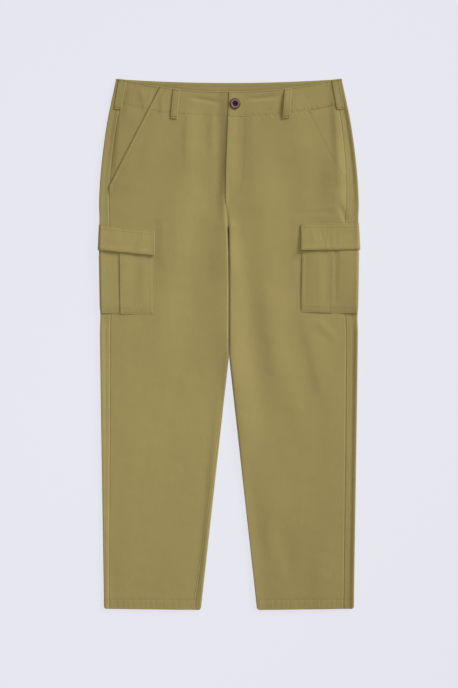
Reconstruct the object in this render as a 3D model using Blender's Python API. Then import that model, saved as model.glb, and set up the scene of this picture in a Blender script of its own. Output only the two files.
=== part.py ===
"""Cargo pants lying flat on their back, built piece by piece as a maker cuts and sews them.

The waist points to +Y and the front faces up (+Z). The wearer's right leg is at -X, suffix _r, and
the left leg at +X, suffix _l. Every length here is in millimetres until a mesh is made.

Each half of the garment is a flattened ring of cloth: a top run, a round fold at the outer side,
and a bottom run. A point on it is found from its distance along the cloth, from its height up the
garment, and from its rise above the cloth's outer face (the skin).
"""

import math

import bpy
import bmesh

METRES = 0.001

# The cloth, and how its layers lie on each other.
WALL = 1.2
BAND_WALL = 1.6
FLAP_WALL = 1.6
GAP = 0.3
FOLD_R = 1.9
TURN = FOLD_R * math.pi / 2
CROWN = 1.4
CROWN_RUN = 60.0

# The outline: half the garment's width at each height, from the waist down to the hem.
OUTLINE = [
    # height, half_width
    (520.0, 221.3),
    (480.0, 229.8),
    (440.0, 238.0),
    (400.0, 244.2),
    (361.0, 249.0),
    (322.0, 252.6),
    (283.0, 254.6),
    (244.0, 255.3),
    (8.0, 252.9),
    (-520.0, 245.0),
]

# The line where the two halves meet in front: the fly's edge, the crotch, then the touching legs.
CENTRE_LINE = [
    # height, x
    (495.0, 0.7),
    (398.0, -3.6),
    (328.0, -6.4),
    (272.0, -8.1),
    (236.0, -1.5),
    (216.0, -2.5),
    (-23.0, 0.0),
]
LEGS_PART = -23.0
LEG_SPREAD = 0.1108
CROTCH = 226.0
CROTCH_RUN = 10.0
FLY_FOOT = 272.0

# The waist edges, the band, and the hem.
FRONT_WAIST = 495.0
FRONT_WAIST_RISE = 20.0
FRONT_WAIST_REACH = 190.0
FRONT_WAIST_POWER = 2.2
BACK_WAIST = 512.4
BACK_WAIST_RISE = 7.7
WAIST_HALF = 221.3
BAND = 49.0
HEM = -517.9
HEM_DROP = 2.4
HEM_WIDTH = 190.0
LEVEL_TOP = 300.0

# Laps: how far the lower piece runs under the upper one, and how the upper one climbs over it.
FLY_UNDER = 28.0
CENTRE_RUN = 48.0
FLY_LAP = [(0.0, 1.0), (30.0, 1.0), (CENTRE_RUN, 0.0)]
SLANT_UNDER = 8.0
SLANT_LAP = [(0.0, 1.0), (10.0, 1.0), (26.0, 0.0)]
FACING_TIP = 2.0
LAP_FADE = 28.0

# The cargo pockets lift the leg off the surface: its rise at each height, and how far in it holds.
POCKET_RISE = [
    # height, rise
    (278.0, 0.0),
    (246.0, 3.4),
    (172.0, 3.4),
    (152.0, 1.5),
    (56.0, 1.5),
    (20.0, 0.0),
]
POCKET_INSET = [(278.0, 0.0), (246.0, 1.5), (56.0, 1.5), (20.0, 0.0)]
RISE_HOLD = 0.47
RISE_END = 0.62
PLEAT_UNDER = 7.0
PLEAT_RUN = 10.0
FLAP_PROUD = 1.0

BAND_SEAM = 14.0
LOOP_BELOW = 10.0
LOOP_ROWS = 5

BUTTON_AT = (11.9, 471.1)
BUTTON_SEGMENTS = 28
BUTTON_PROFILE = [
    # radius, height above the band
    (9.0, 0.0),
    (10.0, 0.7),
    (10.1, 1.8),
    (9.3, 2.9),
    (8.0, 3.2),
    (6.6, 2.7),
    (5.6, 1.7),
    (4.0, 1.5),
    (3.4, 2.2),
]

# Each half's own places. Distances "from the fold" run along the cloth from the outer fold:
# over the top of the garment they count up from 0, and round its underside down from 0.
SIDES = {
    "r": {
        "sign": -1.0,
        "side_seam": [(470.0, 20.5), (322.0, 20.5), (40.0, 21.0), (-520.0, 10.6)],
        "slant": [(501.0, 136.0), (313.7, 232.0)],
        "inseam": [(-60.0, 0.0), (-520.0, 13.0)],
        "front_loop": (105.5, 5.5),
        "loop_width": 13.0,
        "loop_bulge": 0.4,
        "pocket_front": 108.6,
        "pleat_front": 41.0,
        "pleat_back": -13.0,
        "pocket_back": -80.0,
        "pocket_foot": (61.4, -0.027),
        "flap_top": (233.9, -0.1165),
        "flap_foot": (184.9, -0.0990),
    },
    "l": {
        "sign": 1.0,
        "side_seam": [(470.0, 19.0), (322.0, 24.0), (240.0, 28.0), (40.0, 25.0), (-520.0, 21.4)],
        "slant": [(502.6, 135.3), (455.5, 162.5), (331.0, 227.0)],
        "inseam": [(-60.0, 0.0), (-520.0, 0.0)],
        "front_loop": (114.0, -5.0),
        "loop_width": 14.0,
        "loop_bulge": 1.6,
        "pocket_front": 112.7,
        "pleat_front": 50.0,
        "pleat_back": -9.0,
        "pocket_back": -74.0,
        "pocket_foot": (60.7, 0.025),
        "flap_top": (237.1, -0.0090),
        "flap_foot": (185.7, -0.0105),
    },
}

CLOTH = (0.325, 0.257, 0.105)
BUTTON = (0.060, 0.045, 0.045)


def read(table, key):
    """The table's value at key, on straight lines between its rows, and flat past its ends."""
    rows = sorted(table)
    if key <= rows[0][0]:
        return rows[0][1]
    for (key_a, value_a), (key_b, value_b) in zip(rows, rows[1:]):
        if key <= key_b:
            return value_a + (value_b - value_a) * (key - key_a) / (key_b - key_a)
    return rows[-1][1]


def between(value, low, high):
    """0 at low, 1 at high, and straight in between."""
    return min(1.0, max(0.0, (value - low) / (high - low)))


# ---- The garment's edges -------------------------------------------------------------------


def outer_edge(y):
    return read(OUTLINE, y) - read(POCKET_INSET, y)


def curl(y):
    """0 above the crotch, where the cloth runs flat to its centre seam, and 1 round each leg."""
    return 1.0 - between(y, CROTCH - CROTCH_RUN, CROTCH + CROTCH_RUN)


def inner_edge(side, y, layer):
    """How far out from the centre a half starts, on its top or its bottom layer."""
    apart = max(0.0, LEGS_PART - y) * LEG_SPREAD
    front = side["sign"] * read(CENTRE_LINE, y) + apart + GAP / 2
    if layer == "top":
        return front
    return GAP / 2 + curl(y) * (front - GAP / 2)


def back_waist(x):
    return BACK_WAIST + BACK_WAIST_RISE * (x / WAIST_HALF) ** 2


def front_waist(x):
    dip = FRONT_WAIST + FRONT_WAIST_RISE * (abs(x) / FRONT_WAIST_REACH) ** FRONT_WAIST_POWER
    return min(dip, back_waist(x))


def waist(x, layer):
    return front_waist(x) if layer == "top" else back_waist(x)


def panel_height(level, x, y, layer):
    """The height of a panel's row: level on the leg, bending to the hem and to the band's seam."""
    if level <= HEM:
        return HEM - HEM_DROP * (outer_edge(y) - x) / HEM_WIDTH
    if level <= LEVEL_TOP:
        return level
    share = (level - LEVEL_TOP) / (waist(0.0, layer) - BAND - LEVEL_TOP)
    return LEVEL_TOP + share * (waist(x, layer) - BAND - GAP - LEVEL_TOP)


def band_height(share, x, layer):
    return waist(x, layer) - BAND * (1.0 - share)


# ---- The ring of cloth ---------------------------------------------------------------------


def leg_rise(y, x):
    width = outer_edge(y)
    return read(POCKET_RISE, y) * (1.0 - between(width - x, RISE_HOLD * width, RISE_END * width))


def crown(side, y, x):
    """How far the top layer stands off the bottom one, away from the folds."""
    out = between(outer_edge(y) - x, FOLD_R, CROWN_RUN)
    inward = between(x - inner_edge(side, y, "top"), FOLD_R, CROWN_RUN)
    return CROWN * out * (1.0 - curl(y) * (1.0 - inward))


def flat_point(side, x, y, layer, height):
    """(x, z) on a layer's level stretch, height above its skin."""
    if layer == "top":
        return x, leg_rise(y, x) + 2 * FOLD_R + crown(side, y, x) + height
    return x, leg_rise(y, x) - height


def from_fold(side, distance, y, height):
    """(x, z) at a distance along the cloth from the outer fold: above 0 on top, below 0 under."""
    edge = outer_edge(y)
    if abs(distance) <= TURN:
        angle = distance / FOLD_R
        reach = FOLD_R + height
        middle = FOLD_R + leg_rise(y, edge)
        return edge - FOLD_R + reach * math.cos(angle), middle + reach * math.sin(angle)
    x = edge - FOLD_R - (abs(distance) - TURN)
    return flat_point(side, x, y, "top" if distance > 0 else "bottom", height)


def from_centre(side, distance, y, height, layer, lap=0.0):
    """(x, z) at a distance from the inner edge, where the cloth curls round the inside of the leg."""
    edge = inner_edge(side, y, layer) - lap
    angle = curl(y) * math.pi / 2
    if angle < 0.02 or distance >= TURN:
        bend = 0.0 if angle < 0.02 else TURN - TURN / angle * math.sin(angle)
        return flat_point(side, edge + distance - bend, y, layer, height)
    radius = TURN / angle
    start = edge + radius * math.sin(angle)
    turn = math.pi / 2 - angle * (1.0 - distance / TURN)
    x, level = flat_point(side, start, y, layer, 0.0)
    drop = radius - (radius + height) * math.sin(turn)
    return start - (radius + height) * math.cos(turn), level + (drop if layer == "bottom" else -drop)


# ---- Making solids -------------------------------------------------------------------------


def shared_material(name, colour, roughness, metallic=0.0):
    material = bpy.data.materials.get(name)
    if material:
        return material
    material = bpy.data.materials.new(name)
    material.use_nodes = True
    shader = material.node_tree.nodes["Principled BSDF"]
    shader.inputs["Base Color"].default_value = (*colour, 1.0)
    shader.inputs["Roughness"].default_value = roughness
    shader.inputs["Metallic"].default_value = metallic
    return material


def add_object(name, bm, material, smooth_angle=40.0):
    bmesh.ops.recalc_face_normals(bm, faces=bm.faces)
    mesh = bpy.data.meshes.new(name)
    bm.to_mesh(mesh)
    bm.free()
    mesh.materials.append(material)
    mesh.shade_smooth()
    mesh.set_sharp_from_angle(angle=math.radians(smooth_angle))
    bpy.context.scene.collection.objects.link(bpy.data.objects.new(name, mesh))


def add_cloth(name, rows):
    """A wall of cloth from rows of (lower point, upper point) pairs, closed round its four edges."""
    bm = bmesh.new()
    low = [[bm.verts.new([c * METRES for c in pair[0]]) for pair in row] for row in rows]
    high = [[bm.verts.new([c * METRES for c in pair[1]]) for pair in row] for row in rows]
    last_row = len(rows) - 1
    last_column = len(rows[0]) - 1
    for j in range(last_row):
        for i in range(last_column):
            for skin in (low, high):
                bm.faces.new((skin[j][i], skin[j][i + 1], skin[j + 1][i + 1], skin[j + 1][i]))
    for j in (0, last_row):
        for i in range(last_column):
            bm.faces.new((low[j][i], low[j][i + 1], high[j][i + 1], high[j][i]))
    for i in (0, last_column):
        for j in range(last_row):
            bm.faces.new((low[j][i], low[j + 1][i], high[j + 1][i], high[j][i]))
    add_object(name, bm, shared_material("cotton_twill", CLOTH, 0.9))


def cloth_pair(side, place, level, height_of, wall, lift=None):
    """The lower and upper point of one grid crossing: place gives (x, z) at a height y and a rise."""
    y = level
    for _ in range(4):
        y = height_of(place(y, 0.0)[0], y)
    rise = lift(y) if lift else 0.0
    pair = []
    for height in (rise - wall, rise):
        x, z = place(y, height)
        pair.append((side["sign"] * x, y, z))
    return pair


def fold_column(side, distance):
    """A column at a distance from the outer fold, which may change with the height y."""
    return lambda y, height: from_fold(side, distance(y) if callable(distance) else distance, y, height)


def centre_column(side, distance, layer, lap=None):
    return lambda y, height: from_centre(side, distance, y, height, layer, lap(y) if lap else 0.0)


# ---- Seams that several pieces share -------------------------------------------------------


def side_seam(side, y):
    return read(side["side_seam"], y)


def slant(side, y):
    """The slant pocket's edge, as a distance from the outer fold."""
    return outer_edge(y) - FOLD_R + TURN - read_line(side["slant"], y)


def read_line(table, key):
    """Like read, but carried on straight past the table's upper end."""
    rows = sorted(table)
    if key <= rows[-1][0]:
        return read(table, key)
    (key_a, value_a), (key_b, value_b) = rows[-2:]
    return value_b + (value_b - value_a) * (key - key_b) / (key_b - key_a)


def slant_foot(side):
    return min(row[0] for row in side["slant"])


def front_edge(side, y):
    """Where the front panel starts: at the side seam, or higher up at the slant pocket's edge."""
    if y <= slant_foot(side):
        return side_seam(side, y) + GAP / 2
    return max(side_seam(side, y) + GAP / 2, slant(side, y))


def slant_climb(side, y, over):
    """The rise of a front piece over the side piece that runs under its slant edge."""
    return over * between(y, slant_foot(side) - LAP_FADE, slant_foot(side))


def fly_climb(y, over):
    return over * between(y, CROTCH + CROTCH_RUN, FLY_FOOT)


def fly_under(y):
    return (FLY_UNDER + GAP / 2) * between(y, FLY_FOOT, FLY_FOOT + LAP_FADE)


# ---- The pieces ----------------------------------------------------------------------------


PANEL_ROWS = [-520, -400, -250, -100, -23, 20, 56, 104, 152, 172, 200, 216, 226, 236, 246, 272, 278, 300]
FRONT_TOP_ROWS = [331, 361, 400]
BACK_TOP_ROWS = [322, 361, 400, 440]


def panel_pair(side, place, level, layer, lift=None):
    return cloth_pair(side, place, level, lambda x, y: panel_height(level, x, y, layer), WALL, lift)


def panel_rows(side, columns, levels):
    """The rows of a piece on the top layer. columns holds (place, lift) pairs."""
    return [[panel_pair(side, place, level, "top", lift) for place, lift in columns] for level in levels]


def hold_column(side, share):
    """A column where the pocket's rise starts or stops to fade, a share of the way in."""
    return fold_column(side, lambda y: share * outer_edge(y) * (1.0 - 0.12 * curl(y)) - FOLD_R + TURN)


def front_panel(key):
    side = SIDES[key]
    over = WALL + GAP
    foot = slant_foot(side)
    columns = []
    for distance, share in SLANT_LAP:
        columns.append(
            (
                fold_column(side, lambda y, d=distance: front_edge(side, y) + d),
                lambda y, s=share: s * slant_climb(side, y, over),
            )
        )
    columns.append((hold_column(side, RISE_HOLD), None))
    columns.append((hold_column(side, RISE_END), None))
    under = fly_under if key == "r" else None
    for distance, share in reversed(FLY_LAP[1:]):
        climb = None if key == "r" else (lambda y, s=share: s * fly_climb(y, over))
        columns.append((centre_column(side, distance, "top", under), climb))
    for step in (1.0, 0.66, 0.33, 0.0):
        climb = None if key == "r" else (lambda y: fly_climb(y, over))
        start = inseam_column(side, step * TURN) if key == "r" else centre_column(side, step * TURN, "top")
        columns.append((start, climb))
    levels = sorted(set(PANEL_ROWS + FRONT_TOP_ROWS + [foot, waist(0.0, "top") - BAND]))
    add_cloth(f"front_panel_{key}", panel_rows(side, columns, levels))


def inseam_column(side, distance):
    """A column of the front panel's inner edge, which the inseam pulls away from the inner fold."""

    def place(y, height):
        start = read(side["inseam"], y)
        return from_centre(side, distance + start, y, height, "top", fly_under(y))

    return place


def middle_of_facing(side, y):
    return (side_seam(side, y) + slant(side, y) + SLANT_UNDER) / 2


def pocket_facing(key):
    side = SIDES[key]
    foot = slant_foot(side) + FACING_TIP
    columns = [
        (fold_column(side, lambda y: side_seam(side, y) + GAP / 2), None),
        (fold_column(side, lambda y: middle_of_facing(side, y)), None),
        (fold_column(side, lambda y: slant(side, y) + SLANT_UNDER), None),
    ]
    levels = sorted({foot, 361, 400, waist(0.0, "top") - BAND})
    add_cloth(f"pocket_facing_{key}", panel_rows(side, columns, levels))


def back_panel(key):
    side = SIDES[key]
    columns = [
        ("top", fold_column(side, lambda y: side_seam(side, y) - GAP / 2)),
        ("top", fold_column(side, lambda y: min(BAND_SEAM, (side_seam(side, y) + TURN) / 2))),
    ]
    for step in (1.0, 0.5, 0.0, -0.5, -1.0):
        columns.append(("top" if step > 0 else "bottom", fold_column(side, step * TURN)))
    columns.append(("bottom", fold_column(side, -CROWN_RUN)))
    columns.append(("bottom", fold_under(hold_column(side, RISE_HOLD))))
    columns.append(("bottom", fold_under(hold_column(side, RISE_END))))
    for distance in (CENTRE_RUN, TURN, 0.66 * TURN, 0.33 * TURN, 0.0):
        columns.append(("bottom", centre_column(side, distance, "bottom")))
    if key == "r":
        for share in (0.33, 0.66, 1.0):
            columns.append(("bottom", inseam_wrap(side, share)))
    band_seam = waist(0.0, "bottom") - BAND
    rows = []
    for level in sorted(set(PANEL_ROWS + BACK_TOP_ROWS + [band_seam])):
        share = (level - LEVEL_TOP) / (band_seam - LEVEL_TOP)
        wrap_level = LEVEL_TOP + share * (waist(0.0, "top") - BAND - LEVEL_TOP) if share > 0.0 else level
        row = []
        for layer, place in columns:
            row.append(panel_pair(side, place, wrap_level if layer == "top" else level, layer))
        rows.append(row)
    add_cloth(f"back_panel_{key}", rows)


def fold_under(column):
    """The same plan place as a top column, on the bottom layer."""
    return lambda y, height: (column(y, 0.0)[0], leg_rise(y, column(y, 0.0)[0]) - height)


def inseam_wrap(side, share):
    """A column of the back panel past the inner fold, up on the leg's top as far as the inseam."""

    def place(y, height):
        reach = max(0.0, read(side["inseam"], y) - GAP)
        if reach * curl(y) < 0.01:
            x, z = from_centre(side, 0.0, y, height, "bottom")
            return x - share * 0.02, z
        return from_centre(side, share * reach, y, height, "top")

    return place


def waistband_front(key):
    side = SIDES[key]
    over = BAND_WALL + GAP
    columns = []
    for distance, share in SLANT_LAP:
        columns.append((fold_column(side, lambda y, d=distance: slant(side, y) + d), share * over))
    columns.append((hold_column(side, RISE_HOLD), 0.0))
    columns.append((hold_column(side, RISE_END), 0.0))
    for distance, share in reversed(FLY_LAP):
        lap = (lambda y: FLY_UNDER + GAP / 2) if key == "r" else None
        climb = 0.0 if key == "r" else share * over
        columns.append((centre_column(side, distance, "top", lap), climb))
    add_band(f"waistband_front_{key}", side, columns, "top")


def waistband_side(key):
    side = SIDES[key]
    columns = [
        (fold_column(side, BAND_SEAM + GAP / 2), 0.0),
        (fold_column(side, lambda y: side_seam(side, y)), 0.0),
        (fold_column(side, lambda y: middle_of_facing(side, y)), 0.0),
        (fold_column(side, lambda y: slant(side, y) + SLANT_UNDER), 0.0),
    ]
    add_band(f"waistband_side_{key}", side, columns, "top")


def add_band(name, side, columns, layer):
    rows = []
    for share in (0.0, 0.5, 1.0):
        row = []
        for place, climb in columns:
            row.append(band_pair(side, place, share, layer, climb))
        rows.append(row)
    add_cloth(name, rows)


def band_pair(side, place, share, layer, climb=0.0):
    start = waist(0.0, layer) - BAND * (1.0 - share)
    return cloth_pair(side, place, start, lambda x, y: band_height(share, x, layer), BAND_WALL, lambda y: climb)


def waistband_back():
    """One strip from side seam to side seam, round both outer folds and across the back."""
    distances = (BAND_SEAM - GAP / 2, TURN, TURN / 2, 0.0, -TURN / 2, -TURN, -CROWN_RUN)
    rows = []
    for share in (0.0, 0.5, 1.0):
        halves = []
        for key in ("r", "l"):
            side = SIDES[key]
            half = []
            for distance in distances:
                layer = "top" if distance > 0 else "bottom"
                half.append(band_pair(side, fold_column(side, distance), share, layer))
            for place in (fold_under(hold_column(side, RISE_HOLD)), fold_under(hold_column(side, RISE_END))):
                half.append(band_pair(side, place, share, "bottom"))
            half.append(band_pair(side, centre_column(side, CENTRE_RUN, "bottom"), share, "bottom"))
            halves.append(half)
        rows.append(halves[0] + halves[1][::-1])
    add_cloth("waistband_back", rows)


def lap_rise(side, x, y):
    """The waistband's own rise at a place on its front, where it laps over its side piece."""
    inside = outer_edge(y) - FOLD_R + TURN - x - slant(side, y)
    return (BAND_WALL + GAP) * read(SLANT_LAP, inside) if inside > 0.0 else 0.0


def belt_loop(name, side, left, right, bulge):
    """A strap over the band. left and right give its edges' x at the top and at the foot."""
    rows = []
    for step in range(LOOP_ROWS):
        share = step / (LOOP_ROWS - 1)
        places = []
        for top_x, foot_x in (left, right):
            x = foot_x + (top_x - foot_x) * share
            foot = front_waist(x) - BAND - LOOP_BELOW
            places.append((x, foot + (front_waist(x) - GAP - foot) * share))
        rise = GAP + max(lap_rise(side, x, y) for x, y in places) + bulge * math.sin(math.pi * share)
        row = []
        for x, y in places:
            z = flat_point(side, x, y, "top", rise)[1]
            row.append(((side["sign"] * x, y, z), (side["sign"] * x, y, z + WALL)))
        rows.append(row)
    add_cloth(name, rows)


def belt_loops(key):
    side = SIDES[key]
    middle, lean = side["front_loop"]
    half = side["loop_width"] / 2
    belt_loop(
        f"belt_loop_front_{key}",
        side,
        (middle - half - lean / 2, middle - half + lean / 2),
        (middle + half - lean / 2, middle + half + lean / 2),
        side["loop_bulge"],
    )
    top = outer_edge(waist(WAIST_HALF, "top"))
    foot = outer_edge(waist(WAIST_HALF, "top") - BAND - LOOP_BELOW)
    belt_loop(f"belt_loop_side_{key}", side, (top - 20.0, foot - 22.0), (top - 5.5, foot - 8.0), 0.3)


def line(edge, distance):
    """The height of a pocket's straight edge, given as (height at the fold, slope)."""
    return edge[0] + edge[1] * distance


def pocket_piece(name, side, columns, top, foot, wall, between_rows=()):
    """A patch on the leg. columns holds (distance from the fold, rise of its upper face)."""
    rows = []
    for share in (0.0, 1.0):
        row = []
        for distance, rise in columns:
            y = line(foot, distance) if share == 0.0 else line(top, distance)
            row.append(patch_pair(side, distance, y, rise, wall))
        rows.append(row)
    for y in between_rows:
        rows.insert(-1, [patch_pair(side, distance, y, rise, wall) for distance, rise in columns])
    add_cloth(name, rows)


def patch_pair(side, distance, y, rise, wall):
    pair = []
    for height in (rise - wall, rise):
        x, z = from_fold(side, distance, y, height)
        pair.append((side["sign"] * x, y, z))
    return pair


def cargo_pocket(key):
    side = SIDES[key]
    first = GAP + WALL
    second = first + GAP + WALL
    top = (side["flap_top"][0] - 8.0, side["flap_top"][1])
    foot = side["pocket_foot"]
    fold = side["pleat_front"]
    sections = {
        "front": [
            (fold, second),
            (fold + PLEAT_UNDER + 1.0, second),
            (fold + PLEAT_UNDER + 1.0 + PLEAT_RUN, first),
            (side["pocket_front"], first),
        ],
        "pleat": [
            (side["pleat_back"] + GAP, first),
            (-TURN, first),
            (-TURN / 2, first),
            (0.0, first),
            (TURN / 2, first),
            (TURN, first),
            (fold + PLEAT_UNDER, first),
        ],
        "back": [(side["pocket_back"], first), (side["pleat_back"], first)],
    }
    for section, columns in sections.items():
        name = f"cargo_pocket_{section}_{key}"
        pocket_piece(name, side, columns, top, foot, WALL, between_rows=(104.0, 152.0, 172.0))


def cargo_flap(key):
    side = SIDES[key]
    low = 2 * GAP + WALL + FLAP_WALL
    high = low + GAP + WALL
    fold = side["pleat_front"]
    columns = [(side["pocket_back"] - FLAP_PROUD, low)]
    for step in (-1.0, -0.5, 0.0, 0.5, 1.0):
        columns.append((step * TURN, low))
    columns += [
        (fold - PLEAT_RUN, low),
        (fold - 2.0, high),
        (fold + PLEAT_UNDER + 3.0, high),
        (fold + PLEAT_UNDER + 3.0 + PLEAT_RUN, low),
        (side["pocket_front"] + FLAP_PROUD, low),
    ]
    pocket_piece(f"cargo_flap_{key}", side, columns, side["flap_top"], side["flap_foot"], FLAP_WALL)


def waist_button():
    """A tack button's head: a turned disc with a rounded rim and a dished centre."""
    side = SIDES["l"]
    x, y = BUTTON_AT
    base = flat_point(side, x, y, "top", BAND_WALL + GAP + GAP)[1]
    bm = bmesh.new()
    rings = []
    for radius, height in BUTTON_PROFILE:
        ring = []
        for step in range(BUTTON_SEGMENTS):
            angle = 2 * math.pi * step / BUTTON_SEGMENTS
            place = (x + radius * math.cos(angle), y + radius * math.sin(angle), base + height)
            ring.append(bm.verts.new([c * METRES for c in place]))
        rings.append(ring)
    for lower, upper in zip(rings, rings[1:]):
        for step in range(BUTTON_SEGMENTS):
            after = (step + 1) % BUTTON_SEGMENTS
            bm.faces.new((lower[step], lower[after], upper[after], upper[step]))
    bm.faces.new(rings[0])
    bm.faces.new(rings[-1])
    add_object("waist_button", bm, shared_material("button_metal", BUTTON, 0.35, metallic=0.8))


def centre_on_origin():
    """Moves the whole garment so that its box is centred on the origin and rests on z = 0."""
    vertices = [v for obj in bpy.context.scene.objects for v in obj.data.vertices]
    low = [min(v.co[axis] for v in vertices) for axis in range(3)]
    high = [max(v.co[axis] for v in vertices) for axis in range(3)]
    shift = [-(low[0] + high[0]) / 2, -(low[1] + high[1]) / 2, -low[2]]
    for vertex in vertices:
        vertex.co = [vertex.co[axis] + shift[axis] for axis in range(3)]


def main():
    for obj in list(bpy.data.objects):
        bpy.data.objects.remove(obj, do_unlink=True)
    for key in SIDES:
        back_panel(key)
        front_panel(key)
        pocket_facing(key)
        waistband_front(key)
        waistband_side(key)
        belt_loops(key)
        cargo_pocket(key)
        cargo_flap(key)
    waistband_back()
    waist_button()
    centre_on_origin()


main()
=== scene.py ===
"""The looks of a pair of cotton cargo pants lying flat on their back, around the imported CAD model.

Each panel, band, loop and pocket is a thin closed shell of cloth on the form of its CAD solid, with
its creases, laps, seams and puckers in the mesh. The garment's own places are in millimetres, with
the waist towards +Y and the wearer's right leg at -X (suffix _r); a mesh is made in metres.
"""

import functools
import math

import bpy
import numpy as np
from bpy.props import FloatProperty, FloatVectorProperty, IntProperty, PointerProperty
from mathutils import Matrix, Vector


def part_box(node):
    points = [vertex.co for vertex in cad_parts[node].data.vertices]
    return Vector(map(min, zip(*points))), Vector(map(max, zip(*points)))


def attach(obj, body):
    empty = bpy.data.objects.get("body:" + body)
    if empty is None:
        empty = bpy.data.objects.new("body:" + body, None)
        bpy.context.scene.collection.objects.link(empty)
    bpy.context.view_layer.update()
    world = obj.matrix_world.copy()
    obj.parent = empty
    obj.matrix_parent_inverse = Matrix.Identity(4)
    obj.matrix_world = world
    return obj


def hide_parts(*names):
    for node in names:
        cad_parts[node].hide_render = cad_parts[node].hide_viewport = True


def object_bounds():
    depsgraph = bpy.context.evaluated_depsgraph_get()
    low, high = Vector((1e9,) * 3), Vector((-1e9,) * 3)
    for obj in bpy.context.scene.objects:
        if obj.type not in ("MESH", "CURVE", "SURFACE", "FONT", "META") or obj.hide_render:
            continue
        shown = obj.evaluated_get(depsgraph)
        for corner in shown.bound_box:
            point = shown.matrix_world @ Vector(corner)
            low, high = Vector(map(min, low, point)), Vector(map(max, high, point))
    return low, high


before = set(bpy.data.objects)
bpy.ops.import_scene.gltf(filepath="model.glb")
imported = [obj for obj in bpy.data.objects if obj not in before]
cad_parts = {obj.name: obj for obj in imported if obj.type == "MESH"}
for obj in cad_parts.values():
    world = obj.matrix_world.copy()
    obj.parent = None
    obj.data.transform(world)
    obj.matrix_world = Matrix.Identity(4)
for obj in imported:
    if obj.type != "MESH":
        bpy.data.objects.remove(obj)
CAD_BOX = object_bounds()

bl_info = {
    "name": "Cargo pants, laid flat",
    "version": (1, 0, 0),
    "blender": (4, 5, 0),
    "location": "3D View > Sidebar > Cargo pants",
    "description": "Builds the cloth, stitching, button and studio stage of a pair of cargo pants",
    "category": "Add Mesh",
}

MM = 0.001

# ---- The garment's form, as its CAD solids have it ------------------------------------------

GAP = 0.3
LAYER = 1.2
BAND_LAYER = 1.6
# The outer fold's radius, and a quarter of the way round it along the cloth.
FOLD_R = 1.9
TURN = FOLD_R * math.pi / 2
# The front cloth's soft swell. Here and below, a rise or a dip fades out over its ..._RUN.
CROWN = 1.4
CROWN_RUN = 60.0

OUTLINE = [
    # height, half_width
    (520, 221.3),
    (480, 229.8),
    (440, 238),
    (400, 244.2),
    (361, 249),
    (322, 252.6),
    (283, 254.6),
    (244, 255.3),
    (8, 252.9),
    (-520, 245),
]
CENTRE_LINE = [
    # height, x
    (495, 0.7),
    (398, -3.6),
    (328, -5.8),
    (272, -5.8),
    (248, -3.8),
    (228, -1.8),
    (206, -1.2),
    (-23, 0),
]
LEGS_PART = -23.0
LEG_SPREAD = 0.1108
PART_SOFTLY = 6.0
LEG_GAP = 0.04
CROTCH = 226.0
CROTCH_RUN = 10.0
FLY_FOOT = 272.0

FRONT_WAIST = 495.0
FRONT_WAIST_RISE = 20.0
FRONT_WAIST_REACH = 190.0
FRONT_WAIST_POWER = 2.2
BACK_WAIST = 512.4
BACK_WAIST_RISE = 7.7
WAIST_HALF = 221.3
BAND = 49.0
HEM = -517.9
HEM_DROP = 2.4
HEM_WIDTH = 190.0
HEM_BEND = 60.0
HEM_CORNER = 3.0
HEM_CORNER_RUN = 5.0
LEVEL_TOP = 300.0
LEG_TOP = FRONT_WAIST - BAND

# A lap: how far it reaches under, and (distance in from the edge, share of the climb over it).
FLY_UNDER = 28.0
FLY_LAP = [(0, 1), (29, 1), (120, 0)]
SLANT_UNDER = 8.0
SLANT_LAP = [(0, 1), (9, 1), (130, 0)]
FACING_TIP = -6.0
FACING_DIP_RUN = 9.0
SLANT_LIFT_RUN = 5.0
LAP_FADE = 28.0
BAND_SEAM = 14.0
LOOP_BELOW = 10.0

# How the cargo pockets lift and draw in the leg: (height up the garment, millimetres).
POCKET_RISE = [(278, 0), (246, 3.4), (172, 3.4), (152, 1.5), (56, 1.5), (20, 0)]
POCKET_INSET = [(278, 0), (246, 1.5), (56, 1.5), (20, 0)]
FRONT_RISE = [(440, 0), (246, 3.4), (172, 3.4), (-140, 0)]
FRONT_HOLD = 0.3
RISE_HOLD = 0.47
RISE_END = 0.62
PLEAT_UNDER = 7.0
PLEAT_RUN = 10.0
FLAP_PROUD = 1.0
POCKET_TOP_UNDER_FLAP = 8.0

BUTTON_AT = (11.9, 471.1)
BUTTON_PROFILE = [
    # radius, height above the band
    (9.4, 0),
    (10.5, 0.7),
    (10.6, 1.6),
    (9.8, 2.4),
    (8.6, 2.9),
    (7.2, 3),
    (5.9, 2.7),
    (5.1, 1.8),
    (3.2, 1.4),
    (1.5, 1.6),
]

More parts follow.
